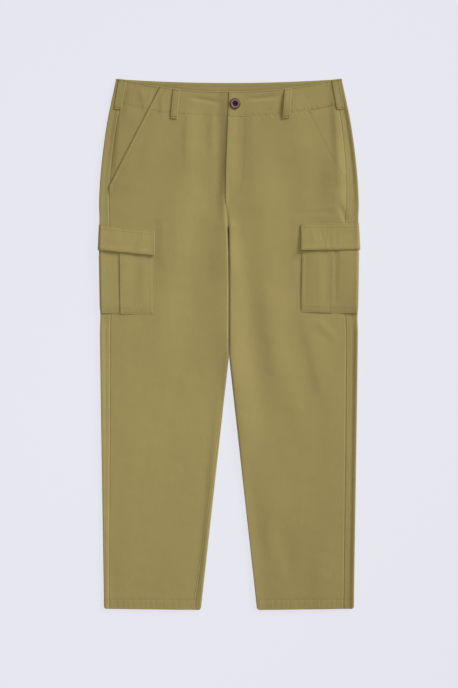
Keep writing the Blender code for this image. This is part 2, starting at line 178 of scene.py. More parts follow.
# What differs between the two legs. A list's rows start with a height up the garment. The places of
# a pocket and its flap are distances along the cloth from the outer fold, below 0 on the underside,
# and each foot or top line is its height at the fold and its slope.
SIDES = {
    "r": {
        "sign": -1,
        "side_seam": [(470, 20.5), (322, 20.5), (40, 21), (-520, 10.6)],
        "slant": [(501, 136), (313.7, 232)],
        "inseam": [(-60, 0), (-520, 13)],
        "lip": [(512, 0.9), (300, 0.9), (240, 0.4), (50, 0.4), (20, 1.5), (-520, 1.5)],
        "lip_run": 8,
        "front_loop": (105.5, 5.5),
        "loop_width": 13,
        "loop_bulge": 0.8,
        "inner_lip": [(-20, 0), (-520, 0)],
        "sewn_run": 12,
        "felled": 0.05,
        "facing_dip": 0.2,
        "slant_lift": 1,
        "pocket_front": 108.6,
        "pleat_front": 41,
        "pleat_back": -13,
        "pocket_back": -80,
        "pocket_foot": (61.4, -0.027),
        "flap_top": (233.9, -0.1165),
        "flap_foot": (184.9, -0.0990),
    },
    "l": {
        "sign": 1,
        "side_seam": [(470, 19), (322, 24), (240, 28), (40, 25), (-520, 21.4)],
        "slant": [(502.6, 135.3), (455.5, 162.5), (331, 227)],
        "inseam": [(-60, 0), (-520, 0)],
        "lip": [
            (512, 1.6),
            (470, 2.4),
            (330, 2.2),
            (250, 1),
            (60, 1),
            (20, 2.8),
            (-470, 2.4),
        ],
        "lip_run": 6,
        "front_loop": (114, -5),
        "loop_width": 14,
        "loop_bulge": 3.6,
        "inner_lip": [(40, 0), (-80, 1.6), (-520, 1.4)],
        "sewn_run": 0.8,
        "felled": 0.25,
        "facing_dip": 0.9,
        "slant_lift": 0,
        "pocket_front": 112.7,
        "pleat_front": 50,
        "pleat_back": -9,
        "pocket_back": -74,
        "pocket_foot": (60.7, 0.025),
        "flap_top": (237.1, -0.0090),
        "flap_foot": (185.7, -0.0105),
    },
}

# ---- Creases ----------------------------------------------------------------------------------

FRONT_CREASES = [
    # from_x, from_y, to_x, to_y, bow, left_width, right_width, height
    (-80, 482, -84, 330, 0, 8, 15, 1.2),
    (-74, 560, -116, 100, 12, 38, 24, 2.6),
    (-128, 510, -146, 310, 0, 50, 75, 3),
    (-100, 300, -146, -60, 0, 26, 36, 2),
    (-33, 476, -34, 355, 0, 7, 9, 1.1),
    (-138, 460, -176, 300, 2, 12, 20, 0.9),
    (-188, 530, -206, 415, 0, 9, 30, 1.4),
    (-122, 340, -125, 95, 0, 17, 80, 1.6),
    (-8.5, 350, -8.5, 222, 0, 9, 5, 2.4),
    (-208, 490, -224, 295, 0, 10, 60, 3),
    (-14, -40, -66, -640, 0, 8, 9, 2.4),
    (-2, 560, -8, 235, 0, 11, 18, 3.2),
    (48, 500, 52, 250, 0, 18, 48, 1.9),
    (56, 410, 58, 110, 0, 60, 44, 4.6),
    (204, 540, 219, 290, 0, 9, 14, 2.6),
    (212, 415, 218, 215, 0, 30, 14, 4.4),
    (150, 375, 146, 240, 0, 16, 22, 1),
    (-0.5, 310, 3.5, -140, 0, 44, 31, 7.8),
    (-0.5, 280, 1, 110, 0, 30, 14, 3.2),
    (1, 70, 46, -310, 0, 20, 28, 5),
    (66, 228, 118, -170, -10, 25, 36, 4.5),
    (124, 520, 129, 320, 0, 110, 34, 4),
    (138, 115, 204, -160, -4, 15, 30, 2.2),
    (168, 59, 216, -1, -2, 8, 10, 1),
    (122, -65, 145, -220, 0, 16, 26, 0.8),
    (232, -60, 226, -400, 0, 30, 30, 1.2),
    (76, -255, 84, -450, 0, 16, 24, 1),
    (90, -325, 124, -470, 0, 22, 24, -1.1),
    (172, -395, 188, -560, 0, 16, 28, 1),
    (140, 262, 214, 267, 1, 5, 5, 0.4),
    (133, 250, 198, 254, -1, 4.5, 4.5, 0.4),
    (162, 243, 222, 250, 0, 4, 4, 0.35),
    (214, 280, 233, 230, 0, 5, 6, -1.6),
    (26, 478.5, 112, 488, -1, 4, 5, -1.8),
    (0, 471, -92, 485, -1, 4, 5, -1.1),
    (-178, 512, -170, 436, 7, 6, 9, 0.9),
    (-150, 506, -158, 452, -3, 5, 6, 0.7),
    (-126, 506, -128, 432, -4, 5, 5, 0.7),
    (52, 436, 94, 466, 2, 5, 5, -0.8),
]
BACK_CREASES = [
    # from_x, from_y, to_x, to_y, bow, left_width, right_width, height
    (-30, 250, -190, 205, 12, 7.2, 11.7, -0.9),
    (-22, 232, -140, 160, 8, 9.6, 15.6, -1),
    (36, 258, 200, 196, -10, 8, 13, -1),
    (24, 236, 120, 172, -7, 8.8, 14.3, -0.8),
    (-60, 430, -84, 330, 4, 10.4, 16.9, -0.6),
    (70, 425, 98, 300, -5, 12, 19.5, -0.7),
    (-52, -20, -210, -44, 7, 8, 13, -0.8),
    (-70, -58, -196, -60, -5, 6.4, 10.4, -0.6),
    (60, -10, 205, -52, -8, 8.8, 14.3, -0.9),
    (92, -70, 214, -84, 4, 6.4, 10.4, -0.5),
    (-118, 150, -128, -10, 5, 17.6, 28.6, -0.7),
    (110, 140, 122, -30, -6, 19.2, 31.2, -0.7),
    (-120, -180, -138, -400, -6, 20.8, 33.8, -0.5),
    (128, -160, 150, -420, 5, 22.4, 36.4, -0.6),
]
CREASE_FADE = 0.4
INNER_WALL = (-1.4, 3.0)
INNER_LIP_RUN = 12.0
FOLD_BOXY = 0.6
INNER_FOLD_BOXY = 0.6
LEAST_ANGLE = 0.001
UNEVEN = 0.10
UNEVEN_WAVES = 14
UNEVEN_SHORTEST = 22.0
UNEVEN_LONGEST = 90.0
FRONT_SEED = 3
UNDER_SEED = 7
# The underside's waviness starts this much up, to keep it off the ground.
UNDER_CLEAR = 2.0
UNDER_OUTER_RUN = 30.0
UNDER_INNER_RUN = 20.0

# The fly stands proud of the half under it, and the legs' seams sink between their panels:
# (height up the garment, millimetres).
FLY_PROUD = [(455, 0.3), (430, 0.6), (340, 0.8), (285, 0.6), (262, 0)]
FLY_PROUD_RUN = 17.0
FLY_HOLLOW = [(455, 0), (420, 1), (330, 1.3), (285, 0.8), (262, 0)]
FLY_HOLLOW_RUN = 12.0
CROTCH_DIP = [(280, 0), (262, 0.6), (230, 1.6), (205, 0.6), (180, 0)]
CROTCH_DIP_RUN = 3.2
SIDE_GROOVE = [(478, 0), (455, 0.5), (380, 0.7), (300, 0.4), (246, 0)]
SIDE_GROOVE_LOW = [(56, 0), (30, 0.4), (-120, 0.6), (-420, 0.5), (-517, 0.2)]
SIDE_GROOVE_FROM_EDGE = 9.0
SIDE_GROOVE_RUN = 3.4

SEAM_DIP = 0.5
WAIST_SEAM_DIP = 0.08
SEAM_DIP_RUN = 1.2
HEM_HEIGHT = 18.0
HEM_TURN = 0.7
HEM_TURN_RUN = 1.0
HEM_SLOPE = 1.5
HEM_PROUD = 0.12
HEM_GROOVE_RUN = 1.2
HEM_PUCKER_WAVE = 9.0
HEM_PUCKER_RUN = 6.0
PUCKER = 0.22
RIPPLE_DRIFT = 1.4
RIPPLE_DRIFT_WAVES = 5.3
SECOND_RIPPLE = 0.6
SECOND_RIPPLE_WAVES = 1.7
STITCH_GROOVE = 0.22
STITCH_GROOVE_RUN = 0.8

# Rows and columns of a shell lie closer together at its edges: distances in from an edge.
EDGE_STEPS = [0.0, 0.3, 0.7, 1.2, 1.8, 2.5, 3.3, 4.3, 5.5, 6.5, 7.2, 8.0, 8.8, 9.8, 11.5, 14.0]
SEAM_STEPS = [0.0, 0.4, 1.0, 1.8, 2.8, 4.2, 6.5, 9.5]
HEM_STEPS = [0.0, 0.4, 1.0, 2.0, 3.5, 5.5, 8.0, 10.5, 13.0, 15.2, 16.6, 17.4]
HEM_STEPS += [18.0, 18.6, 19.5, 21.5, 24.5]
TURN_SHARES = [1.0, 0.75, 0.5, 0.25, 0.0]


def ease(share):
    """0 to 1 with soft ends."""
    share = np.clip(share, 0.0, 1.0)
    return share * share * (3.0 - 2.0 * share)


def between(value, low, high):
    return ease((value - low) / (high - low))


def eased(table, key):
    """The table's value at key, easing from row to row, and flat past its ends."""
    rows = np.array(sorted(table), float)
    key = np.clip(key, rows[0, 0], rows[-1, 0])
    low = np.clip(np.searchsorted(rows[:, 0], key, side="right") - 1, 0, len(rows) - 2)
    share = (key - rows[low, 0]) / (rows[low + 1, 0] - rows[low, 0])
    return rows[low, 1] + (rows[low + 1, 1] - rows[low, 1]) * ease(share)


def curved(table, key):
    """A smooth curve through the table's rows, carried on straight past its ends."""
    rows = np.array(sorted(table), float)
    keys, values = rows[:, 0], rows[:, 1]
    slopes = np.gradient(values, keys)
    inside = np.clip(key, keys[0], keys[-1])
    low = np.clip(np.searchsorted(keys, inside, side="right") - 1, 0, len(keys) - 2)
    span = keys[low + 1] - keys[low]
    t = (inside - keys[low]) / span
    value = values[low] * (1 + 2 * t) * (1 - t) ** 2 + values[low + 1] * t * t * (3 - 2 * t)
    value = value + span * t * (1 - t) * (slopes[low] * (1 - t) - slopes[low + 1] * t)
    end_slope = np.where(key > keys[-1], slopes[-1], slopes[0])
    return value + end_slope * (key - inside)


def bell(distance, run):
    return np.exp(-((distance / run) ** 2))


# ---- Edges ------------------------------------------------------------------------------------


def outer_edge(y):
    return curved(OUTLINE, y) - eased(POCKET_INSET, y)


def curl(y):
    """0 above the crotch, where the cloth runs flat to its centre seam, and 1 round each leg."""
    return 1.0 - between(y, CROTCH - CROTCH_RUN, CROTCH + CROTCH_RUN)


def inner_edge(side, y, layer="top"):
    below = LEGS_PART - y
    apart = LEG_SPREAD * (below + np.sqrt(below**2 + PART_SOFTLY**2)) / 2
    front = side["sign"] * curved(CENTRE_LINE, np.maximum(y, LEGS_PART)) + apart + LEG_GAP / 2
    if layer == "top":
        return front
    return LEG_GAP / 2 + curl(y) * (front - LEG_GAP / 2)


def back_waist(x):
    return BACK_WAIST + BACK_WAIST_RISE * (x / WAIST_HALF) ** 2


def front_waist(x):
    reach = np.abs(x) / FRONT_WAIST_REACH
    dip = FRONT_WAIST + FRONT_WAIST_RISE * reach**FRONT_WAIST_POWER
    return np.minimum(dip, back_waist(x))


def waist(x, layer):
    return front_waist(x) if layer == "top" else back_waist(x)


def side_seam(side, y):
    return curved(side["side_seam"], np.minimum(y, side["side_seam"][0][0]))


def slant(side, y):
    """The slant pocket's edge, as a distance from the outer fold."""
    return outer_edge(y) - FOLD_R + TURN - curved(side["slant"], y)


def slant_foot(side):
    return min(row[0] for row in side["slant"])


def front_edge(side, y):
    """Where the front panel starts: at the side seam, or higher up at the slant pocket's edge."""
    seam = side_seam(side, y) + GAP / 2
    return np.where(y <= slant_foot(side), seam, np.maximum(seam, slant(side, y)))


def slant_climb(side, y, over):
    return over * between(y, slant_foot(side) - LAP_FADE, slant_foot(side))


def fly_climb(y, over):
    return over * between(y, CROTCH + CROTCH_RUN, FLY_FOOT)


def fly_under(y):
    return (FLY_UNDER + GAP / 2) * between(y, FLY_FOOT, FLY_FOOT + LAP_FADE)


def inseam_reach(side, y):
    return np.maximum(0.0, curved(side["inseam"], np.minimum(y, side["inseam"][0][0])))


# ---- The cloth's surface ----------------------------------------------------------------------


def crease_field(table, x, y):
    """The rise of soft ridges and troughs, each along its own slightly bowed line."""
    total = np.zeros(np.broadcast(x, y).shape)
    for from_x, from_y, to_x, to_y, bow, left_width, right_width, height in table:
        run = math.hypot(to_x - from_x, to_y - from_y)
        step_x, step_y = (to_x - from_x) / run, (to_y - from_y) / run
        along = ((x - from_x) * step_x + (y - from_y) * step_y) / run
        bend = bow * np.clip(4.0 * along * (1.0 - along), 0.0, 1.0)
        aside = (y - from_y) * step_x - (x - from_x) * step_y - bend
        width = np.where(aside < 0.0, left_width, right_width)
        fade = ease(np.minimum(along, 1.0 - along) / CREASE_FADE)
        total = total + height * fade * bell(aside, width)
    return total


def unevenness(x, y, seed):
    """A faint waviness of the cloth, about 0 and mostly within 1.5 of it."""
    rng = np.random.default_rng(seed)
    total = np.zeros(np.broadcast(x, y).shape)
    for _ in range(UNEVEN_WAVES):
        angle = rng.uniform(0.0, math.pi)
        wave = rng.uniform(UNEVEN_SHORTEST, UNEVEN_LONGEST)
        phase = rng.uniform(0.0, 2 * math.pi)
        total = total + np.sin(2 * math.pi * (x * math.cos(angle) + y * math.sin(angle)) / wave + phase)
    return total / math.sqrt(UNEVEN_WAVES)


def puckers(along, wave, seed):
    """An irregular ripple along a seam, from -1 to 1."""
    first, second, third = np.random.default_rng(seed).uniform(0.0, 2 * math.pi, 3)
    drift = RIPPLE_DRIFT * np.sin(2 * math.pi * along / (RIPPLE_DRIFT_WAVES * wave) + first)
    ripple = np.sin(2 * math.pi * along / wave + drift + second)
    longer = SECOND_RIPPLE * np.sin(2 * math.pi * along / (SECOND_RIPPLE_WAVES * wave) + third)
    return (ripple + longer) / (1.0 + SECOND_RIPPLE)


SEAM_PUCKERS = {
    # seam: share of the usual depth, wave, distance of the middle from the seam, run
    "slant": (1.0, 8.0, 4.5, 4.0),
    "side": (0.8, 9.0, 4.5, 4.0),
    "waist": (1.0, 10.0, 4.0, 5.0),
    "band foot": (1.0, 8.0, 3.0, 6.0),
    "band top": (0.6, 11.0, 3.0, 5.0),
    "pocket foot": (1.0, 8.0, 6.0, 5.0),
    "flap top": (0.8, 9.0, 6.0, 6.0),
}


def seam_puckers(seam, along, away, seed):
    """The puckers that a named seam draws in the cloth beside it."""
    share, wave, middle, run = SEAM_PUCKERS[seam]
    return share * PUCKER * puckers(along, wave, seed) * bell(away - middle, run)


def leg_rise(y, x):
    width = outer_edge(y)
    return eased(POCKET_RISE, y) * (1.0 - between(width - x, RISE_HOLD * width, RISE_END * width))


def front_rise(y, x):
    """The front cloth falls away from the pockets more slowly than the cloth under them."""
    width = outer_edge(y)
    return eased(FRONT_RISE, y) * (1.0 - between(width - x, FRONT_HOLD * width, width))


def crown(side, y, x):
    out = between(outer_edge(y) - x, FOLD_R, CROWN_RUN)
    inward = between(x - inner_edge(side, y), FOLD_R, CROWN_RUN)
    return CROWN * out * (1.0 - curl(y) * (1.0 - inward))


def relief(side, x, y, layer):
    """The creases' rise off the smooth cloth. Under the garment they only lift off the ground."""
    place = side["sign"] * x
    if layer == "top":
        creases = crease_field(FRONT_CREASES, place, y)
        in_leg = between(x - inner_edge(side, y), *INNER_WALL)
        creases = creases * (1.0 - curl(y) * (1.0 - in_leg))
        rise = creases * settings().cloth.crease_depth + UNEVEN * unevenness(place, y, FRONT_SEED)
        from_side = np.maximum(outer_edge(y) - x - FOLD_R, 0.0)
        rise = rise + eased(side["lip"], y) * bell(from_side, side["lip_run"])
        rise = rise + eased(side["inner_lip"], y) * bell(x - inner_edge(side, y), INNER_LIP_RUN)
        return rise + np.maximum(front_rise(y, x) - leg_rise(y, x), 0.0)
    creases = crease_field(BACK_CREASES, place, y)
    lifts = UNEVEN * (unevenness(place, y, UNDER_SEED) - UNDER_CLEAR)
    inward = between(outer_edge(y) - x, 0.0, UNDER_OUTER_RUN)
    inward = inward * between(x - inner_edge(side, y, "bottom"), 0.0, UNDER_INNER_RUN)
    return (creases * settings().cloth.crease_depth + lifts) * inward


def flat_height(side, x, y, layer, height):
    """The height over the ground of a point on a layer's level stretch, height above its skin."""
    if layer == "top":
        return leg_rise(y, x) + 2 * FOLD_R + crown(side, y, x) + relief(side, x, y, layer) + height
    return leg_rise(y, x) - relief(side, x, y, layer) - height


def from_fold(side, distance, y, height):
    """(x, z) at a distance along the cloth from the outer fold: above 0 on top, below 0 under."""
    distance, y, height = np.broadcast_arrays(distance, y, height)
    edge = outer_edge(y)
    angle = np.clip(distance / FOLD_R, -math.pi / 2, math.pi / 2)
    share = (1.0 + np.sin(angle)) / 2
    turn_x = edge - FOLD_R + FOLD_R * np.cos(angle)
    swell = share * relief(side, turn_x, y, "top") + (1 - share) * relief(side, turn_x, y, "bottom")
    reach, climb = np.cos(angle) ** FOLD_BOXY, np.sign(angle) * np.abs(np.sin(angle)) ** FOLD_BOXY
    middle = FOLD_R + leg_rise(y, edge)
    level_x = edge - FOLD_R - (np.abs(distance) - TURN)
    top = flat_height(side, level_x, y, "top", height)
    under = flat_height(side, level_x, y, "bottom", height)
    turned = np.abs(distance) <= TURN
    x = np.where(turned, edge - FOLD_R + (FOLD_R + height) * reach, level_x)
    round_z = middle + (FOLD_R + height + swell) * climb
    z = np.where(turned, round_z, np.where(distance > 0, top, under))
    return x, z


def curl_angle(y):
    """How far round the inside of the leg the cloth turns, never quite 0."""
    return np.maximum(curl(y) * math.pi / 2, LEAST_ANGLE)


def curl_loss(y):
    """How much less of the plan the cloth takes up where it curls round the inside of the leg."""
    angle = curl_angle(y)
    return TURN - TURN / angle * np.sin(angle)


def from_centre(side, distance, y, height, layer, lap=0.0):
    """(x, z) at a distance from the inner edge, where the cloth curls round the inside of the leg."""
    distance, y, height, lap = np.broadcast_arrays(distance, y, height, lap)
    edge = inner_edge(side, y, layer) - lap
    angle = curl_angle(y)
    radius = TURN / angle
    start = edge + radius * np.sin(angle)
    lean = angle * (1.0 - np.minimum(distance, TURN) / TURN)
    swell = relief(side, start, y, layer)
    reach = radius + height + swell
    level = flat_height(side, start, y, layer, 0.0) - (swell if layer == "top" else -swell)
    boxy = 1.0 - (1.0 - INNER_FOLD_BOXY) * curl(y)
    drop = radius - reach * np.cos(lean) ** boxy
    curl_z = level + (drop if layer == "bottom" else -drop)
    flat_x = edge + distance - curl_loss(y)
    flat_z = flat_height(side, flat_x, y, layer, height)
    curls = distance < TURN
    out = np.sin(angle) * (np.sin(lean) / np.sin(angle)) ** boxy
    curl_x = start - (radius + height) * out
    return np.where(curls, curl_x, flat_x), np.where(curls, curl_z, flat_z)


def settings():
    return bpy.context.scene.cargo_pants


# ---- Grids ------------------------------------------------------------------------------------


SETTLE_ROUNDS = 4


class Grid:
    """A sheet's outer and inner points, with the steps in from its first and last column's edges."""

    def __init__(self, skin_pair, levels, first_steps=(0.0,), last_steps=(0.0,)):
        self.outer, self.inner = skin_pair
        self.levels = np.ravel(levels)
        self.first_steps = first_steps
        self.last_steps = last_steps

    def row(self, level):
        return np.interp(level, self.levels, np.arange(len(self.levels)))

    def from_first(self, distance):
        return np.interp(distance, self.first_steps, np.arange(len(self.first_steps)))

    def from_last(self, distance):
        last = self.outer.shape[1] - 1
        return last - np.interp(distance, self.last_steps, np.arange(len(self.last_steps)))

    def at(self, rows, columns):
        """Points between the grid's own, and the cloth's outward direction there."""
        rows, columns = np.broadcast_arrays(np.asarray(rows, float), np.asarray(columns, float))
        j = np.clip(rows.astype(int), 0, self.outer.shape[0] - 2)
        i = np.clip(columns.astype(int), 0, self.outer.shape[1] - 2)
        down = (rows - j)[..., None]
        aside = (columns - i)[..., None]

        def blend(points):
            low = points[j, i] * (1 - aside) + points[j, i + 1] * aside
            high = points[j + 1, i] * (1 - aside) + points[j + 1, i + 1] * aside
            return low * (1 - down) + high * down

        points = blend(self.outer)
        outward = points - blend(self.inner)
        return points, outward / np.linalg.norm(outward, axis=-1, keepdims=True)


def graded(low, high, low_steps, high_steps, spacing):
    """Levels from low to high, close together at both ends."""
    start, end = low + low_steps[-1], high - high_steps[-1]
    middle = np.linspace(start, end, max(2, round((end - start) / spacing) + 1))
    first, last = low + np.array(low_steps[:-1]), high - np.array(high_steps[:-1])[::-1]
    return np.concatenate([first, middle, last])


def columns(first_steps, last_steps, usual_width, spacing):
    """Each column's distance from the first edge, as a length and a share of the piece's width."""
    count = max(1, round((usual_width - first_steps[-1] - last_steps[-1]) / spacing) - 1)
    share = (np.arange(count) + 1.0) / (count + 1.0)
    middle = first_steps[-1] * (1 - share) - last_steps[-1] * share
    length = np.concatenate([first_steps, middle, -np.array(last_steps)[::-1]])
    shares = np.concatenate([np.zeros(len(first_steps)), share, np.ones(len(last_steps))])
    return length[None, :], shares[None, :]


def settle(place, height_of, levels, count):
    """The height up the garment of each grid point, where it depends on the point's own place."""
    y = np.repeat(np.asarray(levels, float)[:, None], count, axis=1)
    for _ in range(SETTLE_ROUNDS):
        y = height_of(place(y, 0.0)[0], y)
    return y


def skins(side, place, y, rise, wall):
    """The outer and the inner points of a sheet, a wall apart."""
    pair = []
    for height in (rise, rise - wall):
        x, z = place(y, height)
        pair.append(np.stack([side["sign"] * x, y, z], axis=-1))
    return pair


def panel_height(side, level, x, y, layer):
    """The height of a panel's row: level on the leg, bending to the hem and to the band's seam."""
    edge = outer_edge(y)
    near_out = np.clip(1.0 - (edge - x) / HEM_CORNER_RUN, 0.0, 1.0) ** 2
    near_in = np.clip(1.0 - (x - inner_edge(side, y)) / HEM_CORNER_RUN, 0.0, 1.0) ** 2
    tilt = -HEM_DROP * (edge - x) / HEM_WIDTH * (1.0 - between(level, HEM, HEM + HEM_BEND))
    corner = HEM_CORNER * (near_out + near_in) * (1.0 - between(level, HEM, HEM + 3 * HEM_CORNER))
    share = (level - LEVEL_TOP) / (LEG_TOP - LEVEL_TOP)
    high = LEVEL_TOP + share * (waist(x, layer) - BAND - GAP - LEVEL_TOP)
    return np.where(level > LEVEL_TOP, high, level + tilt + corner)


def front_height(side, levels):
    return lambda x, y: panel_height(side, levels[:, None], x, y, "top")


def hem_rise(level, along, seed):
    """The turned-up hem: a slightly thicker edge, its row of stitching, and the puckers in it."""
    above = level - HEM
    turned = 1.0 - between(above, HEM_HEIGHT - HEM_TURN_RUN, HEM_HEIGHT + HEM_SLOPE)
    groove = STITCH_GROOVE * bell(above - HEM_HEIGHT, HEM_GROOVE_RUN)
    ripple = PUCKER * puckers(along, HEM_PUCKER_WAVE, seed) * between(above, 0.0, HEM_PUCKER_RUN)
    return HEM_PROUD * turned - groove + ripple * turned


def one_layer():
    return settings().cloth.wall / MM


def two_layers():
    return settings().cloth.band_wall / MM


def wall_at(level):
    """The cloth's thickness: doubled where the hem is turned up inside."""
    above = between(level - HEM, HEM_HEIGHT - HEM_TURN_RUN, HEM_HEIGHT + HEM_TURN_RUN)
    return one_layer() + HEM_TURN * (1.0 - above)


def seam_dip(distance):
    return -SEAM_DIP * bell(distance, SEAM_DIP_RUN)


def topstitch_grooves(distance, rows):
    return -STITCH_GROOVE * sum(bell(distance - row, STITCH_GROOVE_RUN) for row in rows)


# ---- The panels -------------------------------------------------------------------------------

PANEL_SPACING = 3.0
BACK_SPACING = 5.0
FRONT_USUAL_WIDTH = 235.0
FLY_STEPS = EDGE_STEPS + [17.0, 20.0, 23.5, 27.0, 30.0, 32.0, 33.2, 34.0, 34.8, 36.0, 38.5, 42.0, 46.0]
SLANT_ROWS = (1.8, 7.2)
FLY_STITCH = 34.0
# The fly's stitching presses the cloth less than other rows, and only above its curved foot.
FLY_PRESS = 0.4
FLY_STITCH_START = (FLY_FOOT + 20.0, FLY_FOOT + 50.0)
FLY_HOLLOW_IN = 9.0
INSEAM_ROW = 4.2
INSEAM_RUN = 80.0
# The cloth puckers beside the side seam, and more at the open edge of the slant pocket.
SEWN_PUCKER = 0.5
OPEN_PUCKER = 0.3
FELLED_ROW = 7.0
# Distances from the side seam over which the felled seam rises and falls again.
FELLED_RISE = (0.4, 1.6)
FELLED_FALL = (7.8, 9.4)


def leg_levels(spacing):
    return graded(HEM, LEG_TOP, HEM_STEPS, SEAM_STEPS, spacing)


def front_panel_grid(key):
    side = SIDES[key]
    is_under = key == "r"
    levels = leg_levels(PANEL_SPACING)
    length, share = columns(EDGE_STEPS, FLY_STEPS, FRONT_USUAL_WIDTH, PANEL_SPACING)

    def spans(y):
        lap = fly_under(y) if is_under else np.zeros_like(y)
        start = inseam_reach(side, y)
        outer_x = outer_edge(y) - FOLD_R + TURN - front_edge(side, y)
        width = outer_x - inner_edge(side, y) + lap + curl_loss(y) - start
        return lap, start, width, length + share * width

    def place(y, height):
        lap, start, width, distance = spans(y)
        return from_centre(side, width - distance + start, y, height, "top", lap)

    y = settle(place, front_height(side, levels), levels, length.shape[1])
    _, _, width, distance = spans(y)
    inward = width - distance
    over = LAYER + GAP
    foot = slant_foot(side)
    open_edge = between(y, foot - LAP_FADE, foot)
    rise = slant_climb(side, y, over) * eased(SLANT_LAP, distance)
    rise = rise + seam_dip(distance) * (1.0 - open_edge)
    rise = rise + topstitch_grooves(distance, SLANT_ROWS) * open_edge
    rise = rise + side["slant_lift"] * bell(distance, SLANT_LIFT_RUN) * open_edge
    rise = rise + seam_puckers("slant", y, distance, seed=11) * (SEWN_PUCKER + OPEN_PUCKER * open_edge)
    if is_under:
        rise = rise - eased(FLY_HOLLOW, y) * bell(inward - FLY_UNDER - FLY_HOLLOW_IN, FLY_HOLLOW_RUN)
        below = 1.0 - between(y, LEGS_PART - INSEAM_RUN, LEGS_PART)
        rise = rise + (seam_dip(inward) + topstitch_grooves(inward, (INSEAM_ROW,))) * below
    else:
        rise = rise + fly_climb(y, over) * eased(FLY_LAP, inward)
        rise = rise + eased(FLY_PROUD, y) * bell(inward, FLY_PROUD_RUN)
        stitched = between(y, *FLY_STITCH_START)
        rise = rise + FLY_PRESS * topstitch_grooves(inward, (FLY_STITCH,)) * stitched
    waist_seam = LEG_TOP - levels[:, None]
    rise = rise - eased(CROTCH_DIP, y) * bell(inward, CROTCH_DIP_RUN)
    rise = rise - WAIST_SEAM_DIP * bell(waist_seam, SEAM_DIP_RUN)
    rise = rise + seam_puckers("waist", distance, waist_seam, seed=12)
    rise = rise + hem_rise(levels[:, None], distance, seed=13)
    return Grid(skins(side, place, y, rise, wall_at(levels[:, None])), levels, EDGE_STEPS, FLY_STEPS)


WRAP_SHARES = [0.0, 0.015, 0.04, 0.07, 0.11, 0.16, 0.22, 0.29, 0.37, 0.45, 0.53, 0.61]
WRAP_SHARES += [0.69, 0.77, 0.85, 0.93]
FOLD_SHARES = [1.0, 0.83, 0.66, 0.5, 0.33, 0.16, 0.0, -0.16, -0.33, -0.5, -0.66, -0.83, -1.0]
UNDER_STEPS = [1.5, 3.5, 6.5, 10.0, 14.0, 19.0, 25.0]
CENTRE_STEPS = [14.0, 9.5, 6.5, 4.6, 3.6]
INSEAM_SHARES = [0.08, 0.2, 0.34, 0.5, 0.66, 0.8, 0.9, 0.96, 1.0]
UNDER_COLUMNS = 38
# The fold's first points count as the front, for the height of a row.
FRONT_FOLD_POINTS = 6
# Where the back panel's edge doesn't show in front, its spare points lie this close together.
CLOSED_STEP = 0.02
CLOSED_BELOW = 0.01
OFF_THE_SEAM = -100.0
# Seams and puckers are fainter on the underside.
UNDER_FAINT = 0.3


def under_distances(side, y):
    """Distances from the outer fold, negative, over the level part of the garment's underside."""
    reach = TURN + outer_edge(y) - FOLD_R - inner_edge(side, y, "bottom") + curl_loss(y)
    start, end = TURN + UNDER_STEPS[-1], reach - CENTRE_STEPS[0]
    share = (np.arange(UNDER_COLUMNS) + 1.0) / (UNDER_COLUMNS + 1.0)
    steps = [-(TURN + np.array(UNDER_STEPS))[None, :] + 0 * y]
    steps.append(-(start + (end - start) * share[None, :]))
    steps.append(-(reach - np.array(CENTRE_STEPS)[None, :]))
    return np.concatenate(steps, axis=1)


